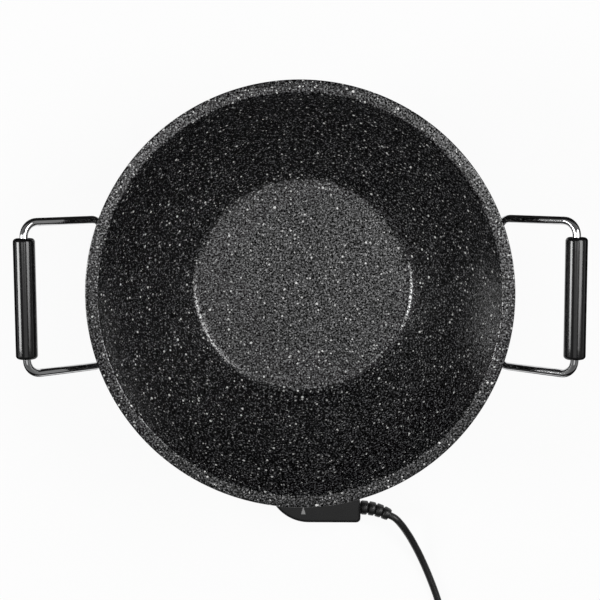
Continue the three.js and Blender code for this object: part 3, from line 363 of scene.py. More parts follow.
bright = worked_metal("turned_nickel_plate", "b9b9b8", "d2d2d0", 0.10, 0.20, (1, 0.1, 1))
FINISHES = {
    "bowl_coating": granite_coating(),
    "chrome_wire": chrome_wire(),
    # phenolic grip, hot pressed in a polished tool: deep black and glossy
    "grip_plastic": moulded("pressed_phenolic", "060607", "0b0b0c", 0.14, 0.19, 3.0, 0.005, IOR=1.58),
    # heat-proof nylon of the base, moulded with a fine spark-eroded texture: black and satin
    "base_plastic": moulded("eroded_glass_nylon", "0e0e0f", "161617", 0.42, 0.55, 0.9, 0.05, IOR=1.53),
    # ABS of the control, moulded in lightly textured tools: black, between satin and gloss
    "control_plastic": moulded("satin_moulded_abs", "070708", "0b0b0c", 0.24, 0.32, 0.9, 0.015, IOR=1.50),
    "dial_plastic": moulded("gloss_moulded_abs", "0a0a0b", "101011", 0.18, 0.26, 1.1, 0.015, IOR=1.53),
    # soft PVC of the strain relief, the extruded cord jacket and the plug: black with a dull sheen
    "relief_rubber": moulded("moulded_soft_pvc", "131313", "1e1e1e", 0.34, 0.44, 0.8, 0.03, IOR=1.52),
    "cord_jacket": moulded("extruded_soft_pvc", "171717", "222222", 0.34, 0.44, 1.2, 0.03, IOR=1.52),
    "plug_plastic": moulded("moulded_plug_pvc", "0e0e0e", "151515", 0.40, 0.50, 0.9, 0.04, IOR=1.52),
    "foot_rubber": moulded("pressed_rubber", "101010", "1b1b1b", 0.75, 0.88, 0.9, 0.08, IOR=1.52),
    # zinc-plated pressings, turned and plated pins, brass contacts: grey to gold with fine working marks
    "steel": worked_metal("pressed_zinc_steel", "8e9094", "a9abae", 0.28, 0.42, (1, 0.08, 1)),
    "bright_metal": bright, "plug_pins": bright,
    "brass_contacts": worked_metal("rolled_brass", "a8843c", "c9a659", 0.22, 0.34, (1, 0.1, 1)),
    "ceramic": moulded("pressed_steatite", "ddd5c2", "ebe5d6", 0.6, 0.75, 0.8, 0.05, IOR=1.6),
    "lamp_glass": clear_plastic("blown_glass", "f2efe8", 0.02, 1.5),
    "lens_red": clear_plastic("red_polycarbonate", "c01512", 0.08, 1.58),
}
# pad-printed marks: flat ink, grey or white, on the plastic
grey_ink = moulded("grey_pad_print", "8e8e8e", "9a9a9a", 0.45, 0.55, 0.9, 0.01, IOR=1.5)
white_ink = moulded("white_pad_print", "dcdcdc", "e8e8e8", 0.45, 0.55, 0.9, 0.01, IOR=1.5)


def finished(made, body, slot, *nodes, finish=None):
    """Gives a piece its material and its body, and hides the CAD solids that it stands for."""
    made.data.materials.clear()
    made.data.materials.append(finish or FINISHES[slot])
    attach(made, body)
    if nodes:
        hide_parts(*nodes)
    return made


# ---------------- cord

# where the relief leaves the housing, the radius of its bend and its length
RELIEF_START, RELIEF_HEIGHT = (53.5, -212.8), 24
RELIEF_BEND, RELIEF_LENGTH = 54.6, 28.6
CORD_RADIUS = 3.4
# the coil's middle, its outer turn's radius, the step between turns, and the heights of its two layers
COIL_CENTRE = (93.5, -368)
COIL_RADIUS, COIL_PITCH, COIL_LOW, COIL_RISE = 44.5, 8.4, 3.5, 7.6
COIL_IN, COIL_CLIMB, COIL_OUT = 2, 0.5, 1.5     # turns wound in, climbing and wound out
PLUG_X, PLUG_REAR, PLUG_AXIS = 133.8, -436, 19


def relief_line(distance):
    """Points on the strain relief's axis, which bends toward -Y round a circle, and the angle bent there."""
    distance = np.asarray(distance, float)
    angle = np.maximum(distance, 0) / RELIEF_BEND
    x = RELIEF_START[0] + np.minimum(distance, 0) + RELIEF_BEND * np.sin(angle)
    y = RELIEF_START[1] - RELIEF_BEND * (1 - np.cos(angle))
    return np.stack([x, y, np.full_like(x, RELIEF_HEIGHT)], -1), angle


def soft_step(value, low, high):
    """0 below low, 1 above high and 3 s^2 - 2 s^3 between them, s being the share of the way."""
    share = np.clip((value - low) / (high - low), 0, 1)
    return share * share * (3 - 2 * share)


def cord_points():
    """The cord's line: out of the relief, down to the table, round the coil and up to the plug.

    The coil's radius falls by the pitch in each turn of its lower layer and grows again in the upper one.
    """
    inside, _ = relief_line([RELIEF_LENGTH - 6, RELIEF_LENGTH - 2])
    free = np.array([
        (81.07, -220.27, 24), (86.96, -223.67, 24), (93.2, -231.4, 20.6), (97.9, -239, 16.6), (103, -248, 13),
        (111.3, -265, 7.6), (120.2, -286, 4.2), (129.2, -311, 3.5), (135.6, -337, 3.5), (137.8, -352, 3.5),
    ])
    turns = np.arange(0, (COIL_IN + COIL_CLIMB + COIL_OUT) * 24 + 1) / 24
    inner = COIL_RADIUS - COIL_PITCH * COIL_IN
    reach = np.maximum(turns - COIL_IN - COIL_CLIMB, 0)
    radius = np.where(reach > 0, inner + COIL_PITCH * reach, COIL_RADIUS - COIL_PITCH * np.minimum(turns, COIL_IN))
    height = COIL_LOW + COIL_RISE * soft_step(turns, COIL_IN, COIL_IN + COIL_CLIMB)
    angle = -2 * math.pi * turns
    coil = np.stack([
        COIL_CENTRE[0] + radius * np.cos(angle), COIL_CENTRE[1] + radius * np.sin(angle), height,
    ], -1)
    x, y, z = coil[-1]
    share = np.linspace(0, 1, 9)[1:]
    start, stop = y - 6.8, PLUG_REAR + 7.1
    tail = np.stack([
        np.full(8, x), start + share * (stop - start), z + (PLUG_AXIS - z) * soft_step(share, 0, 1),
    ], -1)
    return np.concatenate([inside, free, coil, tail, [(x, PLUG_REAR - 3, PLUG_AXIS)]])


def cord_curve(name, points, radius):
    """A round curve through the points, its handles a sixth of the step between each point's neighbours."""
    points = placed(points)
    pull = np.gradient(points, axis=0) / 3
    curve = bpy.data.curves.new(name, "CURVE")
    curve.dimensions = "3D"
    curve.bevel_depth = radius / 1000
    curve.bevel_resolution = 5
    curve.resolution_u = 4
    curve.use_fill_caps = True
    spline = curve.splines.new("BEZIER")
    spline.bezier_points.add(len(points) - 1)
    for point in spline.bezier_points:
        point.handle_left_type = point.handle_right_type = "FREE"
    for key, value in (("co", points), ("handle_left", points - pull), ("handle_right", points + pull)):
        spline.bezier_points.foreach_set(key, value.ravel())
    return shown(name, curve)


def plug_rings():
    """The plug turned along -Y: a sleeve with ribs, a flared grip and a round face with two grounding grooves.

    The grip's radius dips by the groove's depth near the top and bottom of the face.
    """
    distance = np.concatenate([np.linspace(0, 16, 33), np.linspace(16.5, 52, 72)])
    sleeve = 6 - 0.5 * (0.5 + 0.5 * np.cos(distance * 2 * math.pi / 4)) * (distance < 15)
    flare = 6 + 5.6 * soft_step(distance, 15, 20) + 7.1 * soft_step(distance, 22, 42)
    radius = np.where(distance < 15, sleeve, flare)
    radius = np.minimum(radius, 18.7) - 1.2 * np.clip((distance - 51) / 1, 0, 1) ** 2
    radius[0] -= 0.6
    angle = turn_angles(96)
    near = np.exp(-((np.abs(np.sin(angle)) - 1) / 0.035) ** 2)
    depth = 2.2 * near[None] * soft_step(distance, 41, 43.5)[:, None]
    # finger hollows on the two flat sides of the grip
    hollow = 1.5 * np.abs(np.cos(angle))[None] ** 6 * np.exp(-((distance - 31) / 7) ** 2)[:, None]
    size = radius[:, None] - depth - hollow
    x = PLUG_X + size * np.cos(angle)
    z = PLUG_AXIS + size * np.sin(angle)
    return np.stack([x, np.broadcast_to((PLUG_REAR - distance)[:, None], x.shape), z], -1)


def tip_profile(radius, length, tip):
    """A pin's side and the quarter round of its tip."""
    return np.concatenate([[(radius, 0)], arc((radius - tip, length - tip), tip, 0, RIGHT, 6)])


plug = skin("plug_grip", plug_rings(), crease=55)
plug = finished(plug, "control", "plug_plastic", "plug_body")
for side, word in ((-1, "left"), (1, "right")):
    start = (PLUG_X + side * 9.5, PLUG_REAR - 48, PLUG_AXIS)
    pin = skin(f"plug_prong_{word}", turned_along(tip_profile(2.4, 23, 1.2), start, (0, -1, 0), (0, 0, 1), 32))
    finished(pin, "control", "plug_pins", f"plug_pin_{word}")
for side, word in ((-1, "lower"), (1, "upper")):
    strip = carried(bar_section(2.2, 0.4, 0.3, 2)[:, ::-1], [
        (PLUG_X, PLUG_REAR - y, PLUG_AXIS + side * h)
        for y, h in ((44.6, 16.0), (45.2, 16.7), (47, 16.9), (50, 16.9), (51.2, 16.5), (51.6, 15.8))
    ], (1, 0, 0))
    finished(skin(f"plug_earth_{word}", strip), "control", "plug_pins")

mains_cord = cord_curve("mains_cord", cord_points(), CORD_RADIUS)
finished(mains_cord, "control", "cord_jacket", "cord_free", "cord_coil")


# ---------------- bowl

# the rim's radius, the wall's thickness, the lip's radius, and the heights of the floor's two faces
RIM, THICK, LIP, FLOOR, UNDER = 180, 4.4, 168.8, 40.8, 36.4
RIM_HEIGHT, RIM_THICK, EDGE = 145.3, 4.2, 1.2
# how steep the wall is where its fillet ends and at its head, then the arc between
FOOT_ANGLE, HEAD_ANGLE = math.radians(41.5), math.radians(70.511)
WALL_RADIUS, WALL_CENTRE = 242.069, (-59.400, 224.860)
FILLET = 11
FILLET_CENTRE = (101 - FILLET * math.sin(FOOT_ANGLE), FLOOR + FILLET)
PAD_HEIGHT, PAD_RISE = 104.5, 10.6
BOSS_CIRCLE, FOOT_CIRCLE = 88, 107


def outer_radius(height):
    """The wall's outer radius at a height, on the arc that runs one wall thickness outside the inner one."""
    outer = WALL_RADIUS + THICK
    return WALL_CENTRE[0] + np.sqrt(outer ** 2 - (WALL_CENTRE[1] - np.asarray(height, float)) ** 2)


PAD_FACE = float(outer_radius(PAD_HEIGHT)) + PAD_RISE


def wall_points(depth, top_angle):
    """The fillet and wall up to an angle, on a line that runs so far outside the bowl's inner face."""
    return np.concatenate([
        arc(FILLET_CENTRE, FILLET + depth, DOWN, DOWN + FOOT_ANGLE, 12),
        arc(WALL_CENTRE, WALL_RADIUS + depth, DOWN + FOOT_ANGLE, DOWN + top_angle, 40)[1:],
    ])


def bowl_profile():
    """The bowl's section from the middle of its floor, up the inside, over the rim and back below."""
    lip_round = 1.2 / (1 - math.cos(HEAD_ANGLE))
    lip_centre = (LIP + lip_round * math.sin(HEAD_ANGLE), RIM_HEIGHT - lip_round)
    floor = [(r, FLOOR) for r in np.linspace(0, 90, 19)]
    lip = arc(lip_centre, lip_round, RIGHT + HEAD_ANGLE, RIGHT, 6)
    edge = RIM - EDGE
    under_rim = RIM_HEIGHT - RIM_THICK
    top_angle = math.acos((WALL_CENTRE[1] - under_rim) / (WALL_RADIUS + THICK))
    return np.concatenate([
        floor, wall_points(0, HEAD_ANGLE), lip[1:], [(174.5, RIM_HEIGHT)],
        arc((edge, RIM_HEIGHT - EDGE), EDGE, RIGHT, 0, 6),
        arc((edge, under_rim + EDGE), EDGE, 0, DOWN, 6),
        wall_points(THICK, top_angle)[::-1], [(45, UNDER), (0, UNDER)],
    ])


def element_bead_rings():
    """The cast bead under the floor that holds the heating element: a rounded ring, open downward for the tube."""
    inside = arc((75, UNDER - 4.5), 4.0, math.pi, 0, 16)
    section = np.concatenate([
        [(82, UNDER - 4.5), (82, UNDER - 0.5), (83.5, UNDER + 1), (66.5, UNDER + 1), (68, UNDER - 0.5),
         (68, UNDER - 4.5)], inside,
    ])
    gap = math.asin(28.5 / 75)
    angle = (np.linspace(gap, 2 * math.pi - gap, 121) + DOWN)[:, None]
    x, y = section[:, 0] * np.cos(angle), section[:, 0] * np.sin(angle)
    return np.stack([x, y, np.broadcast_to(section[:, 1], x.shape)], -1)


def pad_rings(side):
    """A cast pad for one handle: a rounded block that grows out of the wall, with a draft toward its face.

    Its inner end follows the wall: x = sqrt(outer radius at that height squared - y squared) - 2 mm.
    """
    outline = bar_section(17, 13.5, 5, 8)
    rings = []
    for size, back in ((0.90, 0.0), (0.945, 0.35), (0.965, 1.2)):
        y, z = outline[:, 0] * size, PAD_HEIGHT + outline[:, 1] * size
        rings.append(np.stack([np.full_like(y, PAD_FACE - back), y, z], -1))
    for size, depth in ((0.985, 3.0), (1.0, 0.4), (1.06, -0.9), (1.10, -2.0)):
        y, z = outline[:, 0] * size, PAD_HEIGHT + outline[:, 1] * size
        wall = np.sqrt(outer_radius(z) ** 2 - y ** 2)
        rings.append(np.stack([np.minimum(wall + depth, PAD_FACE - 2.0), y, z], -1))
    return np.array(rings) * (side, 1, 1)


finished(skin("wok_bowl", turned(bowl_profile(), 240), crease=50), "wok", "bowl_coating", "bowl")
finished(skin("element_bead", element_bead_rings(), crease=50), "wok", "bowl_coating", "bowl")
for side, word in ((1, "right"), (-1, "left")):
    finished(skin(f"handle_pad_{word}", pad_rings(side), crease=60), "wok", "bowl_coating", "bowl")
for i, at in enumerate(spaced_round(4, BOSS_CIRCLE)):
    boss = [(2.3, 20), (2.3, 7.8), (5.3, 7.8), (5.5, 8.2), (5.7, 34), (7, UNDER + 1), (2.3, UNDER + 1)]
    finished(skin(f"base_boss_{i + 1}", turned(boss, 40, at), looped=True), "wok", "bowl_coating", "bowl")


# ---------------- handles

# the wire's radius, the radius of its bends and half the loop's width; then the loop's two straight sides
WIRE, BEND, HALF = 3.4, 12, 63.6
BAR_X, BAR_Z = PAD_FACE + 0.3 + WIRE, PAD_HEIGHT
GRIP_X, GRIP_Z = BAR_X + 57.8, 155.3
LOOP = math.hypot(GRIP_X - BAR_X, GRIP_Z - BAR_Z)
TILT = math.atan2(GRIP_Z - BAR_Z, GRIP_X - BAR_X)


def loop_path():
    """One handle's wire in its own plane: from under the strap round four bends and back, a hair short of closing."""
    side, far = HALF - BEND, LOOP - BEND
    line = np.linspace(0, 1, 12)[:, None]
    half = np.concatenate([
        np.array([(0, 1)]) + line * (0, side - 1),
        arc((BEND, side), BEND, math.pi, RIGHT, 14)[1:],
        np.array([(BEND, HALF)]) + line[1:-1] * (far - BEND, 0),
        arc((far, side), BEND, RIGHT, 0, 14),
        np.array([(LOOP, side)]) + line[1:] * (0, -side),
    ])
    return np.concatenate([half, (half * (1, -1))[::-1][1:]])


def handle_place(points, side):
    """Points of a loop's plane (out, along) to the handle on that side."""
    out, along = points[:, 0], points[:, 1]
    x = BAR_X + out * math.cos(TILT)
    return np.stack([side * x, side * along, BAR_Z + out * math.sin(TILT)], -1)


def grip_profile():
    """A grip's section: the ends of its bore, two rounded ends and a straight barrel."""
    half, edge, radius = 50.5, 3.0, 9.1
    return np.concatenate([
        [(3.7, -half + 1.2), (4.0, -half)], arc((radius - edge, -half + edge), edge, DOWN, 0, 10),
        np.stack([np.full(9, radius), np.linspace(-40, 40, 9)], -1),
        arc((radius - edge, half - edge), edge, 0, RIGHT, 10), [(4.0, half), (3.7, half - 1.2)],
    ])


def strap_path(side):
    """The strap's middle line: up the pad's face, out round the wire and on up."""
    middle = PAD_FACE + 0.3 + 0.8
    lower = np.concatenate([
        [(middle, 92.0), (middle, 96.0)], arc((middle + 1.2, 98.8), 1.2, math.pi, RIGHT, 5),
        arc((BAR_X, BAR_Z), 4.5, DOWN, 0, 12),
    ])
    line = np.concatenate([lower, (lower * (1, -1) + (0, 2 * BAR_Z))[::-1][1:]])
    return np.stack([side * line[:, 0], np.zeros(len(line)), line[:, 1]], -1)


def screw_rings(start, along, up, head, height, shank, length):
    """A pan-head screw: a domed head with a cross recess, and a shank behind it.

    The head's face sinks where |x| or |y| is under 0.13 and the radius under 0.58 of the head's radius.
    """
    sides = 48
    radius = np.linspace(0, head * 0.86, 12)[:, None]
    x, y = radius * np.cos(turn_angles(sides)), radius * np.sin(turn_angles(sides))
    cross = (np.minimum(np.abs(x), np.abs(y)) < head * 0.13) & (np.hypot(x, y) < head * 0.58)
    face = height * 0.16 * (radius / head) ** 2 + np.where(cross, height * 0.45, 0)
    rest = np.array([
        (head * 0.96, height * 0.3), (head, height * 0.55), (head, height), (shank, height),
        (shank, length - shank * 0.6), (shank * 0.3, length),
    ])
    side = np.broadcast_to(rest[:, None, :], (len(rest), sides, 2))
    reach = np.concatenate([np.broadcast_to(radius, x.shape), side[..., 0]])
    depth = np.concatenate([face, side[..., 1]])
    return round_axis(reach, depth, start, along, up, sides)


for side, word in ((1, "right"), (-1, "left")):
    level = (-side * math.sin(TILT), 0, math.cos(TILT))
    wire = carried(round_section(WIRE, 32), handle_place(loop_path(), side), level)
    finished(skin(f"wire_loop_{word}", wire), "wok", "chrome_wire", f"handle_wire_{word}")
    grip = turned_along(grip_profile(), (side * GRIP_X, 0, GRIP_Z), (0, 1, 0), (0, 0, 1), 72)
    finished(skin(f"grip_tube_{word}", grip, looped=True), "wok", "grip_plastic", f"handle_grip_{word}")
    strap = skin(f"loop_strap_{word}", carried(bar_section(0.8, 15, 0.5, 3), strap_path(side), (0, 1, 0)))
    finished(strap, "wok", "steel", f"handle_strap_{word}")
    for turn, place in ((1, "upper"), (-1, "lower")):
        start = (side * (PAD_FACE + 4), 0, BAR_Z + turn * 9)
        rings = screw_rings(start, (-side, 0, 0), (0, 0, 1), 3, 1.8, 1.8, 12.4)
        finished(skin(f"loop_screw_{word}_{place}", rings), "wok", "steel", f"strap_screw_{word}_{place}")


# ---------------- base

def skirt_faces():
    """The base shell: a leaning wall on an inward flange, with a window for the socket.

    Upright lines near the window keep x = +-30.3 at every radius, and the quads inside the window are left out.
    """
    top = float(outer_radius(46)) + 0.3
    section = np.array([
        (78, 5), (116.6, 5), (117.5, 5.3), (118, 6.2), (117.35, 11.6), (116.2, 20), (114.9, 30), (114.1, 36.4),
        (top + 2.5, 45.2), (top + 2.1, 45.9), (top + 1.6, 46), (top, 46), (top + 1.6, 36.4), (112.6, 30),
        (113.8, 20), (114.9, 11.6), (115.5, 7.5), (78, 7.5),
    ])
    half, across, round_steps = 30.3, 12, 180
    edge = np.arcsin(half / section[:, 0])[:, None]
    inside = np.arcsin(np.linspace(-half, half, across + 1)[None, :] / section[:, :1]) + DOWN
    share = np.linspace(0, 1, round_steps + 1)[None, 1:-1]
    outside = DOWN + edge + share * (2 * math.pi - 2 * edge)
    angle = np.concatenate([inside, outside], 1)
    x, y = section[:, :1] * np.cos(angle), section[:, :1] * np.sin(angle)
    points = np.stack([x, y, np.broadcast_to(section[:, 1:], x.shape)], -1)
    rows, around = angle.shape
    i, k = np.meshgrid(np.arange(rows), np.arange(around), indexing="ij")
    ahead, turn = (i + 1) % rows, (k + 1) % around
    quads = np.stack([i * around + k, i * around + turn, ahead * around + turn, ahead * around + k], -1)
    # the window runs over rows 4 to 7 outside and 12 to 15 inside, and its sides join each row to the one behind
    pair = [(4, 15), (5, 14), (6, 13), (7, 12)]
    open_rows = ((i >= 4) & (i < 7)) | ((i >= 12) & (i < 15))
    faces = [quads[~(open_rows & (k < across))]]
    low, high = np.array(pair).T * around
    for column in (0, across):
        faces.append(np.stack([low[:-1] + column, low[1:] + column, high[1:] + column, high[:-1] + column], -1))
    column = np.arange(across)
    for a, b in (pair[0], pair[-1]):
        faces.append(np.stack([
            a * around + column, a * around + column + 1, b * around + column + 1, b * around + column,
        ], -1))
    return points.reshape(-1, 3), np.concatenate(faces)


finished(from_faces("base_skirt", *skirt_faces(), crease=35), "wok", "base_plastic", "base_shell")
for i, at in enumerate(spaced_round(4, FOOT_CIRCLE)):
    foot = np.concatenate([
        arc((7, 1), 1, DOWN, 0, 5), [(8, 4.7), (3, 4.7), (3, 7.8), (4.4, 7.8), (3, 9.4)],
    ])
    finished(skin(f"rubber_foot_{i + 1}", turned(foot, 48, at)), "wok", "foot_rubber", f"foot_{i + 1}")
for i, at in enumerate(spaced_round(4, BOSS_CIRCLE)):
    rings = screw_rings((*at, 1.4), (0, 0, 1), (0, 1, 0), 3.8, 1.8, 2, 18.6)
    finished(skin(f"base_fixing_{i + 1}", rings), "wok", "steel", f"base_screw_{i + 1}")


# ---------------- temperature control

CONTROL_TOP, CONTROL_LOW, SEAM = 40, 10, 24
# the housing from above: half its neck's width, its end at the base, its right side, its front and its left bulge
NECK, CASE_END, CASE_RIGHT, CASE_FRONT = 30, -124, 53.5, -223.5
BULGE, BULGE_RADIUS = (5.3, -184.9), 38.6
SCREW_PLACES = (
    (BULGE[0] - BULGE_RADIUS + 9, BULGE[1]), (CASE_RIGHT - 12, CASE_FRONT + 12), (NECK - 9, -152),
)
# the dial's middle, the top of its skirt, and how far out the skirt's figures stand
DIAL_Y, SKIRT_TOP, FIGURE_RADIUS = -183, 44.3, 16.9


def curved(start, pull, end):
    """Twenty points after start on the curve (1 - s)^2 start + 2 s (1 - s) pull + s^2 end, s from 0 to 1."""
    s = np.linspace(0, 1, 21)[1:, None]
    return (1 - s) ** 2 * np.array(start) + 2 * s * (1 - s) * np.array(pull) + s ** 2 * np.array(end)


def case_outline(count=320):
    """The housing seen from above, spaced evenly and eased a little at its corners."""
    reach = np.array((-NECK, CASE_END)) - BULGE
    touch = math.atan2(reach[1], reach[0]) + math.acos(BULGE_RADIUS / np.hypot(*reach))
    start, middle, end = (CASE_RIGHT, -210), (43.75, -178.25), (NECK, CASE_END)
    line = np.concatenate([
        [end, (-NECK, CASE_END)], arc(BULGE, BULGE_RADIUS, touch, 3 * RIGHT, 60),
        arc((CASE_RIGHT - 4, CASE_FRONT + 4), 4, DOWN, 0, 12), [start],
        curved(start, (CASE_RIGHT, -196.5), middle), curved(middle, (34, -160), end)[:-1],
    ])
    closed = np.concatenate([line, line[:1]])
    run = np.concatenate([[0], np.cumsum(np.linalg.norm(np.diff(closed, axis=0), axis=1))])
    at = np.arange(count) * run[-1] / count
    even = np.stack([np.interp(at, run, closed[:, 0]), np.interp(at, run, closed[:, 1])], -1)
    return (np.roll(even, 1, 0) + 2 * even + np.roll(even, -1, 0)) / 4


def inset(outline, distance):
    """The outline moved in by a distance, square to itself."""
    along = np.roll(outline, -1, 0) - np.roll(outline, 1, 0)
    along /= np.linalg.norm(along, axis=1)[:, None]
    inward = np.stack([-along[:, 1], along[:, 0]], -1)
    area = np.sum(outline[:, 0] * np.roll(outline[:, 1], -1) - np.roll(outline[:, 0], -1) * outline[:, 1])
    return outline + inward * distance * np.sign(area)


def case_half(upper):
    """One half of the housing: a wall from the seam, a rounded edge and a plate, and the same again inside.

    Both plates are rings drawn in to a point, and the strip between those points is left out.
    """
    outline = case_outline()

    def ring(in_by, z):
        return at_height(inset(outline, in_by), z)

    def point(z):
        return np.broadcast_to(np.array((4.0, -181.0, z)), (len(outline), 3))

    sign = 1 if upper else -1
    plate, seam = (CONTROL_TOP, SEAM + 0.15) if upper else (CONTROL_LOW, SEAM - 0.15)
    edge = 2.4
    turn = np.linspace(0, RIGHT, 9)
    outer = [(0.25, seam), (0.0, seam + sign * 0.25), (0.0, seam + sign * 4)]
    outer += [(edge * (1 - math.cos(a)), plate - sign * edge * (1 - math.sin(a))) for a in turn]
    outer += [(3.4, plate)]
    inner = [(3.0, plate - sign * 2.2), (2.2, plate - sign * 3.0), (2.2, seam)]
    rings = [ring(*level) for level in outer] + [point(plate), point(plate - sign * 2.2)]
    rings += [ring(*level) for level in inner]
    return np.array(rings), [len(outer)]


def nose_half(upper):
    """Half of the bar that enters the socket: the upper or lower part of a rounded section carried along Y."""
    section = bar_section(26, 9, 3, 8)
    sign = 1 if upper else -1
    section = section[section[:, 1] * sign >= 0]
    section = section[np.argsort(np.arctan2(section[:, 1] * sign, section[:, 0]))]
    section = np.concatenate([[(26, 0)], section, [(-26, 0)]])
    middle = section.mean(0)
    rings = []
    for y, shrink in ((-125.5, 0.0), (-95.2, 0.0), (-94.3, 0.35), (-94.0, 1.1)):
        away = section - middle
        size = 1 - shrink / np.maximum(np.linalg.norm(away, axis=1), 1)[:, None]
        flat = middle + away * size
        flat[:, 1] = np.where(np.abs(section[:, 1]) < 1e-6, 0, flat[:, 1])
        rings.append(np.stack([flat[:, 0], np.full(len(flat), y), SEAM + sign * 0.15 + flat[:, 1]], -1))
    return np.array(rings)


def bore(radius, front, x):
    """A cutter for a round hole in the nose, from front to 4 mm beyond the nose's end."""
    line = [(radius, 0), (radius, -90 - front)]
    return skin("bore", turned_along(line, (x, front, SEAM), (0, 1, 0), (0, 0, 1), 40))


for upper, word in ((True, "top"), (False, "bottom")):
    rings, breaks = case_half(upper)
    shell = skin(f"case_{word}", rings, looped=True, breaks=breaks)
    if not upper:
        wells = [skin("well", turned([(2.9, 5), (2.9, 12.1)], 40, at)) for at in SCREW_PLACES]
        bored(shell, *wells)
    finished(shell, "control", "control_plastic", f"control_{word}_shell")
    nose = skin(f"case_nose_{word}", nose_half(upper))
    bored(nose, bore(3.7, -130, 0), bore(3.2, -112, -14), bore(3.2, -112, 14))
    finished(nose, "control", "control_plastic", f"control_{word}_shell")
for i, at in enumerate(SCREW_PLACES):
    rings = screw_rings((*at, 11.1), (0, 0, 1), (0, 1, 0), 2.6, 1.6, 1.3, 20.9)
    finished(skin(f"case_screw_{i + 1}", rings), "control", "steel", f"control_screw_{i + 1}")


def fluted(radius, height, flutes, depth):
    """Rings of the dial's crown: a lathed form whose side swings in by depth between the flutes."""
    profile = np.concatenate([
        [(radius, height[0])], arc((radius - 1.2, height[1] - 1.2), 1.2, 0, RIGHT, 8), [(4, height[1])],
    ])
    sides = flutes * 8
    rings = turned(profile, sides)
    wave = 0.5 - 0.5 * np.cos(flutes * turn_angles(sides))
    share = np.clip((profile[:, 0] - 10) / 4, 0, 1)[:, None] * wave
    pull = 1 - depth * share / np.maximum(profile[:, :1], 1)
    rings[..., :2] *= pull[..., None]
    return rings


def grip_bar():
    """The dial's grip: a rounded bar whose sides lean in as they rise, with a softly arched top."""
    levels = []
    for z, half, corner in (
        (44.0, 4.0, 1.4), (54.6, 3.45, 1.4), (56.2, 3.1, 1.3), (57.0, 2.3, 1.1), (57.3, 1.4, 0.8),
    ):
        levels.append(at_height(bar_section(half, 13.8 - (4.0 - half) * 0.8, corner, 6), z))
    return np.array(levels)


skirt = np.concatenate([
    [(0.5, 40.3), (18.4, 40.3), (19, 40.8)], arc((17.8, 43.1), 1.2, 0, RIGHT, 6), [(14, SKIRT_TOP)],
])
crown = fluted(15, (44.0, 48.8), 36, 0.45)
for name, rings in (("dial_skirt", turned(skirt, 96)), ("dial_crown", crown), ("dial_grip", grip_bar())):
    finished(skin(name, rings + (0, DIAL_Y, 0)), "dial", "dial_plastic", "temperature_dial")


def flat_mark(name, outline, z, body, finish):
    """A printed mark: an outline with a hair of thickness, lying on the plastic."""
    slot = "dial_plastic" if body == "dial" else "control_plastic"
    levels = [at_height(outline, z - 0.05), at_height(outline, z + 0.04)]
    finished(skin(name, levels, crease=20), body, slot, finish=finish)


def dial_figure(text, angle):
    """A plain number on the skirt, its foot outward, read from the front when it is at the pointer."""
    curve = bpy.data.curves.new(f"figure_{text}", "FONT")
    curve.body, curve.size, curve.align_x, curve.align_y = text, 0.0034, "CENTER", "CENTER"
    curve.extrude = 0.00004
    words = shown(f"dial_figure_{text}", curve)
    bpy.context.view_layer.update()
    mesh = bpy.data.meshes.new_from_object(words.evaluated_get(bpy.context.evaluated_depsgraph_get()))
    bpy.data.objects.remove(words)
    flat = np.zeros(len(mesh.vertices) * 3)
    mesh.vertices.foreach_get("co", flat)
    flat = flat.reshape(-1, 3)
    turn, radius = angle + RIGHT, FIGURE_RADIUS / 1000
    x = flat[:, 0] * math.cos(turn) - flat[:, 1] * math.sin(turn) + radius * math.cos(angle)
    y = flat[:, 0] * math.sin(turn) + flat[:, 1] * math.cos(turn) + radius * math.sin(angle)
    at = placed([(0, DIAL_Y, SKIRT_TOP)])[0]
    mesh.vertices.foreach_set("co", (np.stack([x, y, flat[:, 2]], -1) + at).ravel())
    finished(shown(f"dial_figure_{text}", mesh), "dial", "dial_plastic", finish=white_ink)


# the mark at the pointer is off, and the numbers follow as the dial is turned clockwise
flat_mark("dial_off_dot", round_section(0.9, 24) + (0, DIAL_Y - FIGURE_RADIUS), SKIRT_TOP, "dial", white_ink)
for number in range(1, 6):
    dial_figure(str(number), DOWN + math.radians(45 + 45 * number))
flat_mark("dial_line", bar_section(0.45, 4.2, 0.4, 3) + (0, DIAL_Y - 7.6), 57.3, "dial", white_ink)

pointer = np.array([(-2.1, -215.2), (2.3, -215.2), (0.1, -207.9)])
flat_mark("dial_pointer", pointer + (pointer.mean(0) - pointer) * 0.04, CONTROL_TOP, "control", grey_ink)

lens = np.concatenate([
    [(0.5, 36.5), (4.8, 36.5), (4.8, 37.5), (3.6, 37.5), (3.6, 40.2)], arc((2.4, 40.0), 1.2, 0.2, RIGHT, 6),
])
finished(skin("lamp_window", turned(lens, 40, (-19, -152))), "control", "lens_red", "lamp_lens")


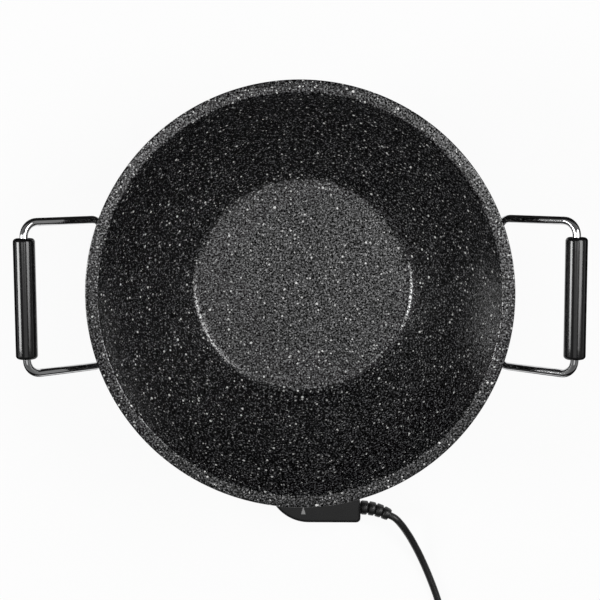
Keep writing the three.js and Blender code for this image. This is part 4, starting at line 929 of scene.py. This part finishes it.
def relief_rings():
    """The strain relief: a flange and neck in the housing, then four ribs with V notches, bent with its axis.

    The radius falls from 6.7 to 5.8 mm as the square of the way along.
    """
    pitch = (RELIEF_LENGTH - 0.3) / 4
    profile = [(6.4, -4.1), (6.4, -2.5), (4.6, -2.5), (4.6, 0.3), (5.9, 0.3)]
    for i in range(4):
        start, end = 0.3 + i * pitch, 0.3 + (i + 1) * pitch
        near, far = (6.7 - 0.9 * ((i + part) / 4) ** 2 for part in (0.3, 1.0))
        profile += [(near - 0.35, start + 0.75), (near, start + 1.3), (far, end - 1.5), (far - 0.35, end - 0.95)]
        if i < 3:
            profile += [(far - 1.7, end - 0.25), (far - 1.9, end), (far - 1.7, end + 0.25)]
    profile += [(5.3, RELIEF_LENGTH - 0.2), (4.6, RELIEF_LENGTH), (3.45, RELIEF_LENGTH)]
    profile = np.array(profile)
    centre, bend = relief_line(profile[:, 1])
    angle = turn_angles(64)[:, None]
    across = np.stack([np.sin(bend), np.cos(bend), np.zeros_like(bend)], -1)
    ring = np.cos(angle) * across[:, None] + np.sin(angle) * (0, 0, 1)
    return centre[:, None] + profile[:, :1, None] * ring


finished(skin("cord_relief", relief_rings(), crease=50), "control", "relief_rubber", "strain_relief")


# ---------------- socket, probe and terminals

probe = turned_along(tip_profile(3.4, 108, 2.3), (0, -142, SEAM), (0, 1, 0), (0, 0, 1), 48)
finished(skin("probe_rod", probe), "control", "bright_metal", "probe_tube")
for side, word in ((-1, "left"), (1, "right")):
    pin = turned_along(tip_profile(2.5, 23, 1.2), (side * 14, -86.3, SEAM), (0, -1, 0), (0, 0, 1), 32)
    finished(skin(f"socket_pin_{word}", pin), "wok", "bright_metal", f"terminal_pin_{word}")

# the hidden solids keep their CAD shapes and only take a finish
for slot, names in {
    "steel": (
        "heating_element", "sensor_guide", "socket_shroud", "base_cover", "thermostat_frame", "bimetal_blade",
        "dial_spindle",
    ),
    "brass_contacts": ("contact_arm_lower", "contact_arm_upper", "pin_receptacle_left", "pin_receptacle_right"),
    "ceramic": ("ceramic_block",),
    "lamp_glass": ("pilot_lamp",),
}.items():
    for name in names:
        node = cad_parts[name]
        if not node.material_slots:
            node.data.materials.append(None)
        for place in node.material_slots:
            place.material = FINISHES[slot]


# ---------------- floor and light

def seen_white(tree, lit, share, mirrored=None):
    """Mixes a lit colour with plain white where the camera, a mirror or clear plastic sees it.

    Where mirrored is given, a mirror sees white by that share instead.
    """
    path = add(tree, "ShaderNodeLightPath")
    sight = {0: (path, "Is Camera Ray"), 1: (path, "Is Transmission Ray")}
    straight = add(tree, "ShaderNodeMath", sight, operation="MAXIMUM")
    direct = add(tree, "ShaderNodeMath", {0: (straight, 0), 1: share}, operation="MULTIPLY")
    in_mirror = share if mirrored is None else mirrored
    glossy = add(tree, "ShaderNodeMath", {0: (path, "Is Glossy Ray"), 1: in_mirror}, operation="MULTIPLY")
    part = add(tree, "ShaderNodeMath", {0: (direct, 0), 1: (glossy, 0)}, operation="MAXIMUM")
    white = add(tree, "ShaderNodeEmission", {"Color": (1, 1, 1, 1), "Strength": 1.0})
    return add(tree, "ShaderNodeMixShader", {0: (part, 0), 1: lit, 2: (white, "Emission")})


HALF_TABLE = 40000
corners = [(x * HALF_TABLE, y * HALF_TABLE, 0) for x, y in ((-1, -1), (1, -1), (1, 1), (-1, 1))]
table = from_faces("table", corners, [(0, 1, 2, 3)])
paper = bpy.data.materials.new("white_paper")
tree = emptied(paper)
matt = add(tree, "ShaderNodeBsdfDiffuse", {"Color": linear("f2f2f2")})
add(tree, "ShaderNodeOutputMaterial", {"Surface": (seen_white(tree, (matt, "BSDF"), 0.92), "Shader")})
table.data.materials.append(paper)

# the room: white to the eye, and in mirrors white low down, as the table is, then dark walls and a grey ceiling
world = bpy.data.worlds.new("studio")
bpy.context.scene.world = world
tree = emptied(world)
outward = add(tree, "ShaderNodeTexCoord")
height = add(tree, "ShaderNodeSeparateXYZ", {"Vector": (outward, "Generated")})
ceiling = ramp(
    tree, (height, "Z"), (0.05, "ffffff"), (0.10, "262626"), (0.27, "909090"), (0.50, "727272"), (1.0, "606060"),
)
room = add(tree, "ShaderNodeBackground", {"Color": (1, 1, 1, 1), "Strength": 0.17})
dim = add(tree, "ShaderNodeBackground", {"Color": (ceiling, "Color"), "Strength": 1.0})
path = add(tree, "ShaderNodeLightPath")
lit = add(tree, "ShaderNodeMixShader", {0: (path, "Is Glossy Ray"), 1: (room, "Background"), 2: (dim, "Background")})
seen = seen_white(tree, (lit, "Shader"), 1.0, 0.0)
add(tree, "ShaderNodeOutputWorld", {"Surface": (seen, "Shader")})


def softbox(name, at, aim, size, power):
    """A rectangular lamp at a point in metres, facing another point."""
    lamp = bpy.data.lights.new(name, "AREA")
    lamp.shape, (lamp.size, lamp.size_y), lamp.energy = "RECTANGLE", size, power
    made = shown(name, lamp)
    made.location = at
    away = np.array(at, float) - np.array(aim, float)
    away /= np.linalg.norm(away)
    made.rotation_euler = (0, math.acos(away[2]), math.atan2(away[1], away[0]))


# two face the wok's floor from its sides, and three hang level and light its flat rim
WOK_FLOOR, OVERHEAD = (0, 0, 0.05), 2.2
softbox("softbox_west", (-1.36, 0.00, 0.97), WOK_FLOOR, (0.60, 0.50), 12.0)
softbox("softbox_east", (1.03, 0.27, 1.27), WOK_FLOOR, (0.75, 0.95), 13.0)
softbox("softbox_left", (-0.50, 0.19, OVERHEAD), (-0.50, 0.19, 0), (0.60, 0.58), 2.3)
softbox("softbox_right", (0.44, 0.18, OVERHEAD), (0.44, 0.18, 0), (0.60, 0.58), 2.7)
softbox("softbox_front", (0.00, -0.52, OVERHEAD), (0.00, -0.52, 0), (1.24, 0.90), 2.2)

# black flags, which only gloss shows, paint dark reflections on the edges of chrome and dark plastic: one lies round
# the wok, nearer behind it and open before the control, and one stands round that, taller to the north and south
FLAG_REACH = 900
angle = turn_angles(64)
inner = np.where(np.sin(angle) > 0.3, 215, np.where(np.sin(angle) < -0.9, FLAG_REACH, 250))
outer = np.full(64, FLAG_REACH)
reach = np.stack([inner, outer, outer])
rise = np.stack([np.ones(64), np.ones(64), 120 + 480 * np.sin(angle) ** 2])
flags = skin("black_flags", np.stack([reach * np.cos(angle), reach * np.sin(angle), rise], -1), breaks=(0, 3))
flags.visible_camera = flags.visible_diffuse = flags.visible_transmission = flags.visible_shadow = False
dark_reflection_paint = bpy.data.materials.new("painted_dark_reflection")
tree = emptied(dark_reflection_paint)
# the flags glow a flat dark grey that only mirrors see: a painted dark reflection, not lit cloth
dark_reflection_glow = add(tree, "ShaderNodeEmission", {"Color": linear("1c1c1c"), "Strength": 1.0})
add(tree, "ShaderNodeOutputMaterial", {"Surface": (dark_reflection_glow, "Emission")})
flags.data.materials.append(dark_reflection_paint)

bpy.context.scene.view_settings.view_transform = "Standard"
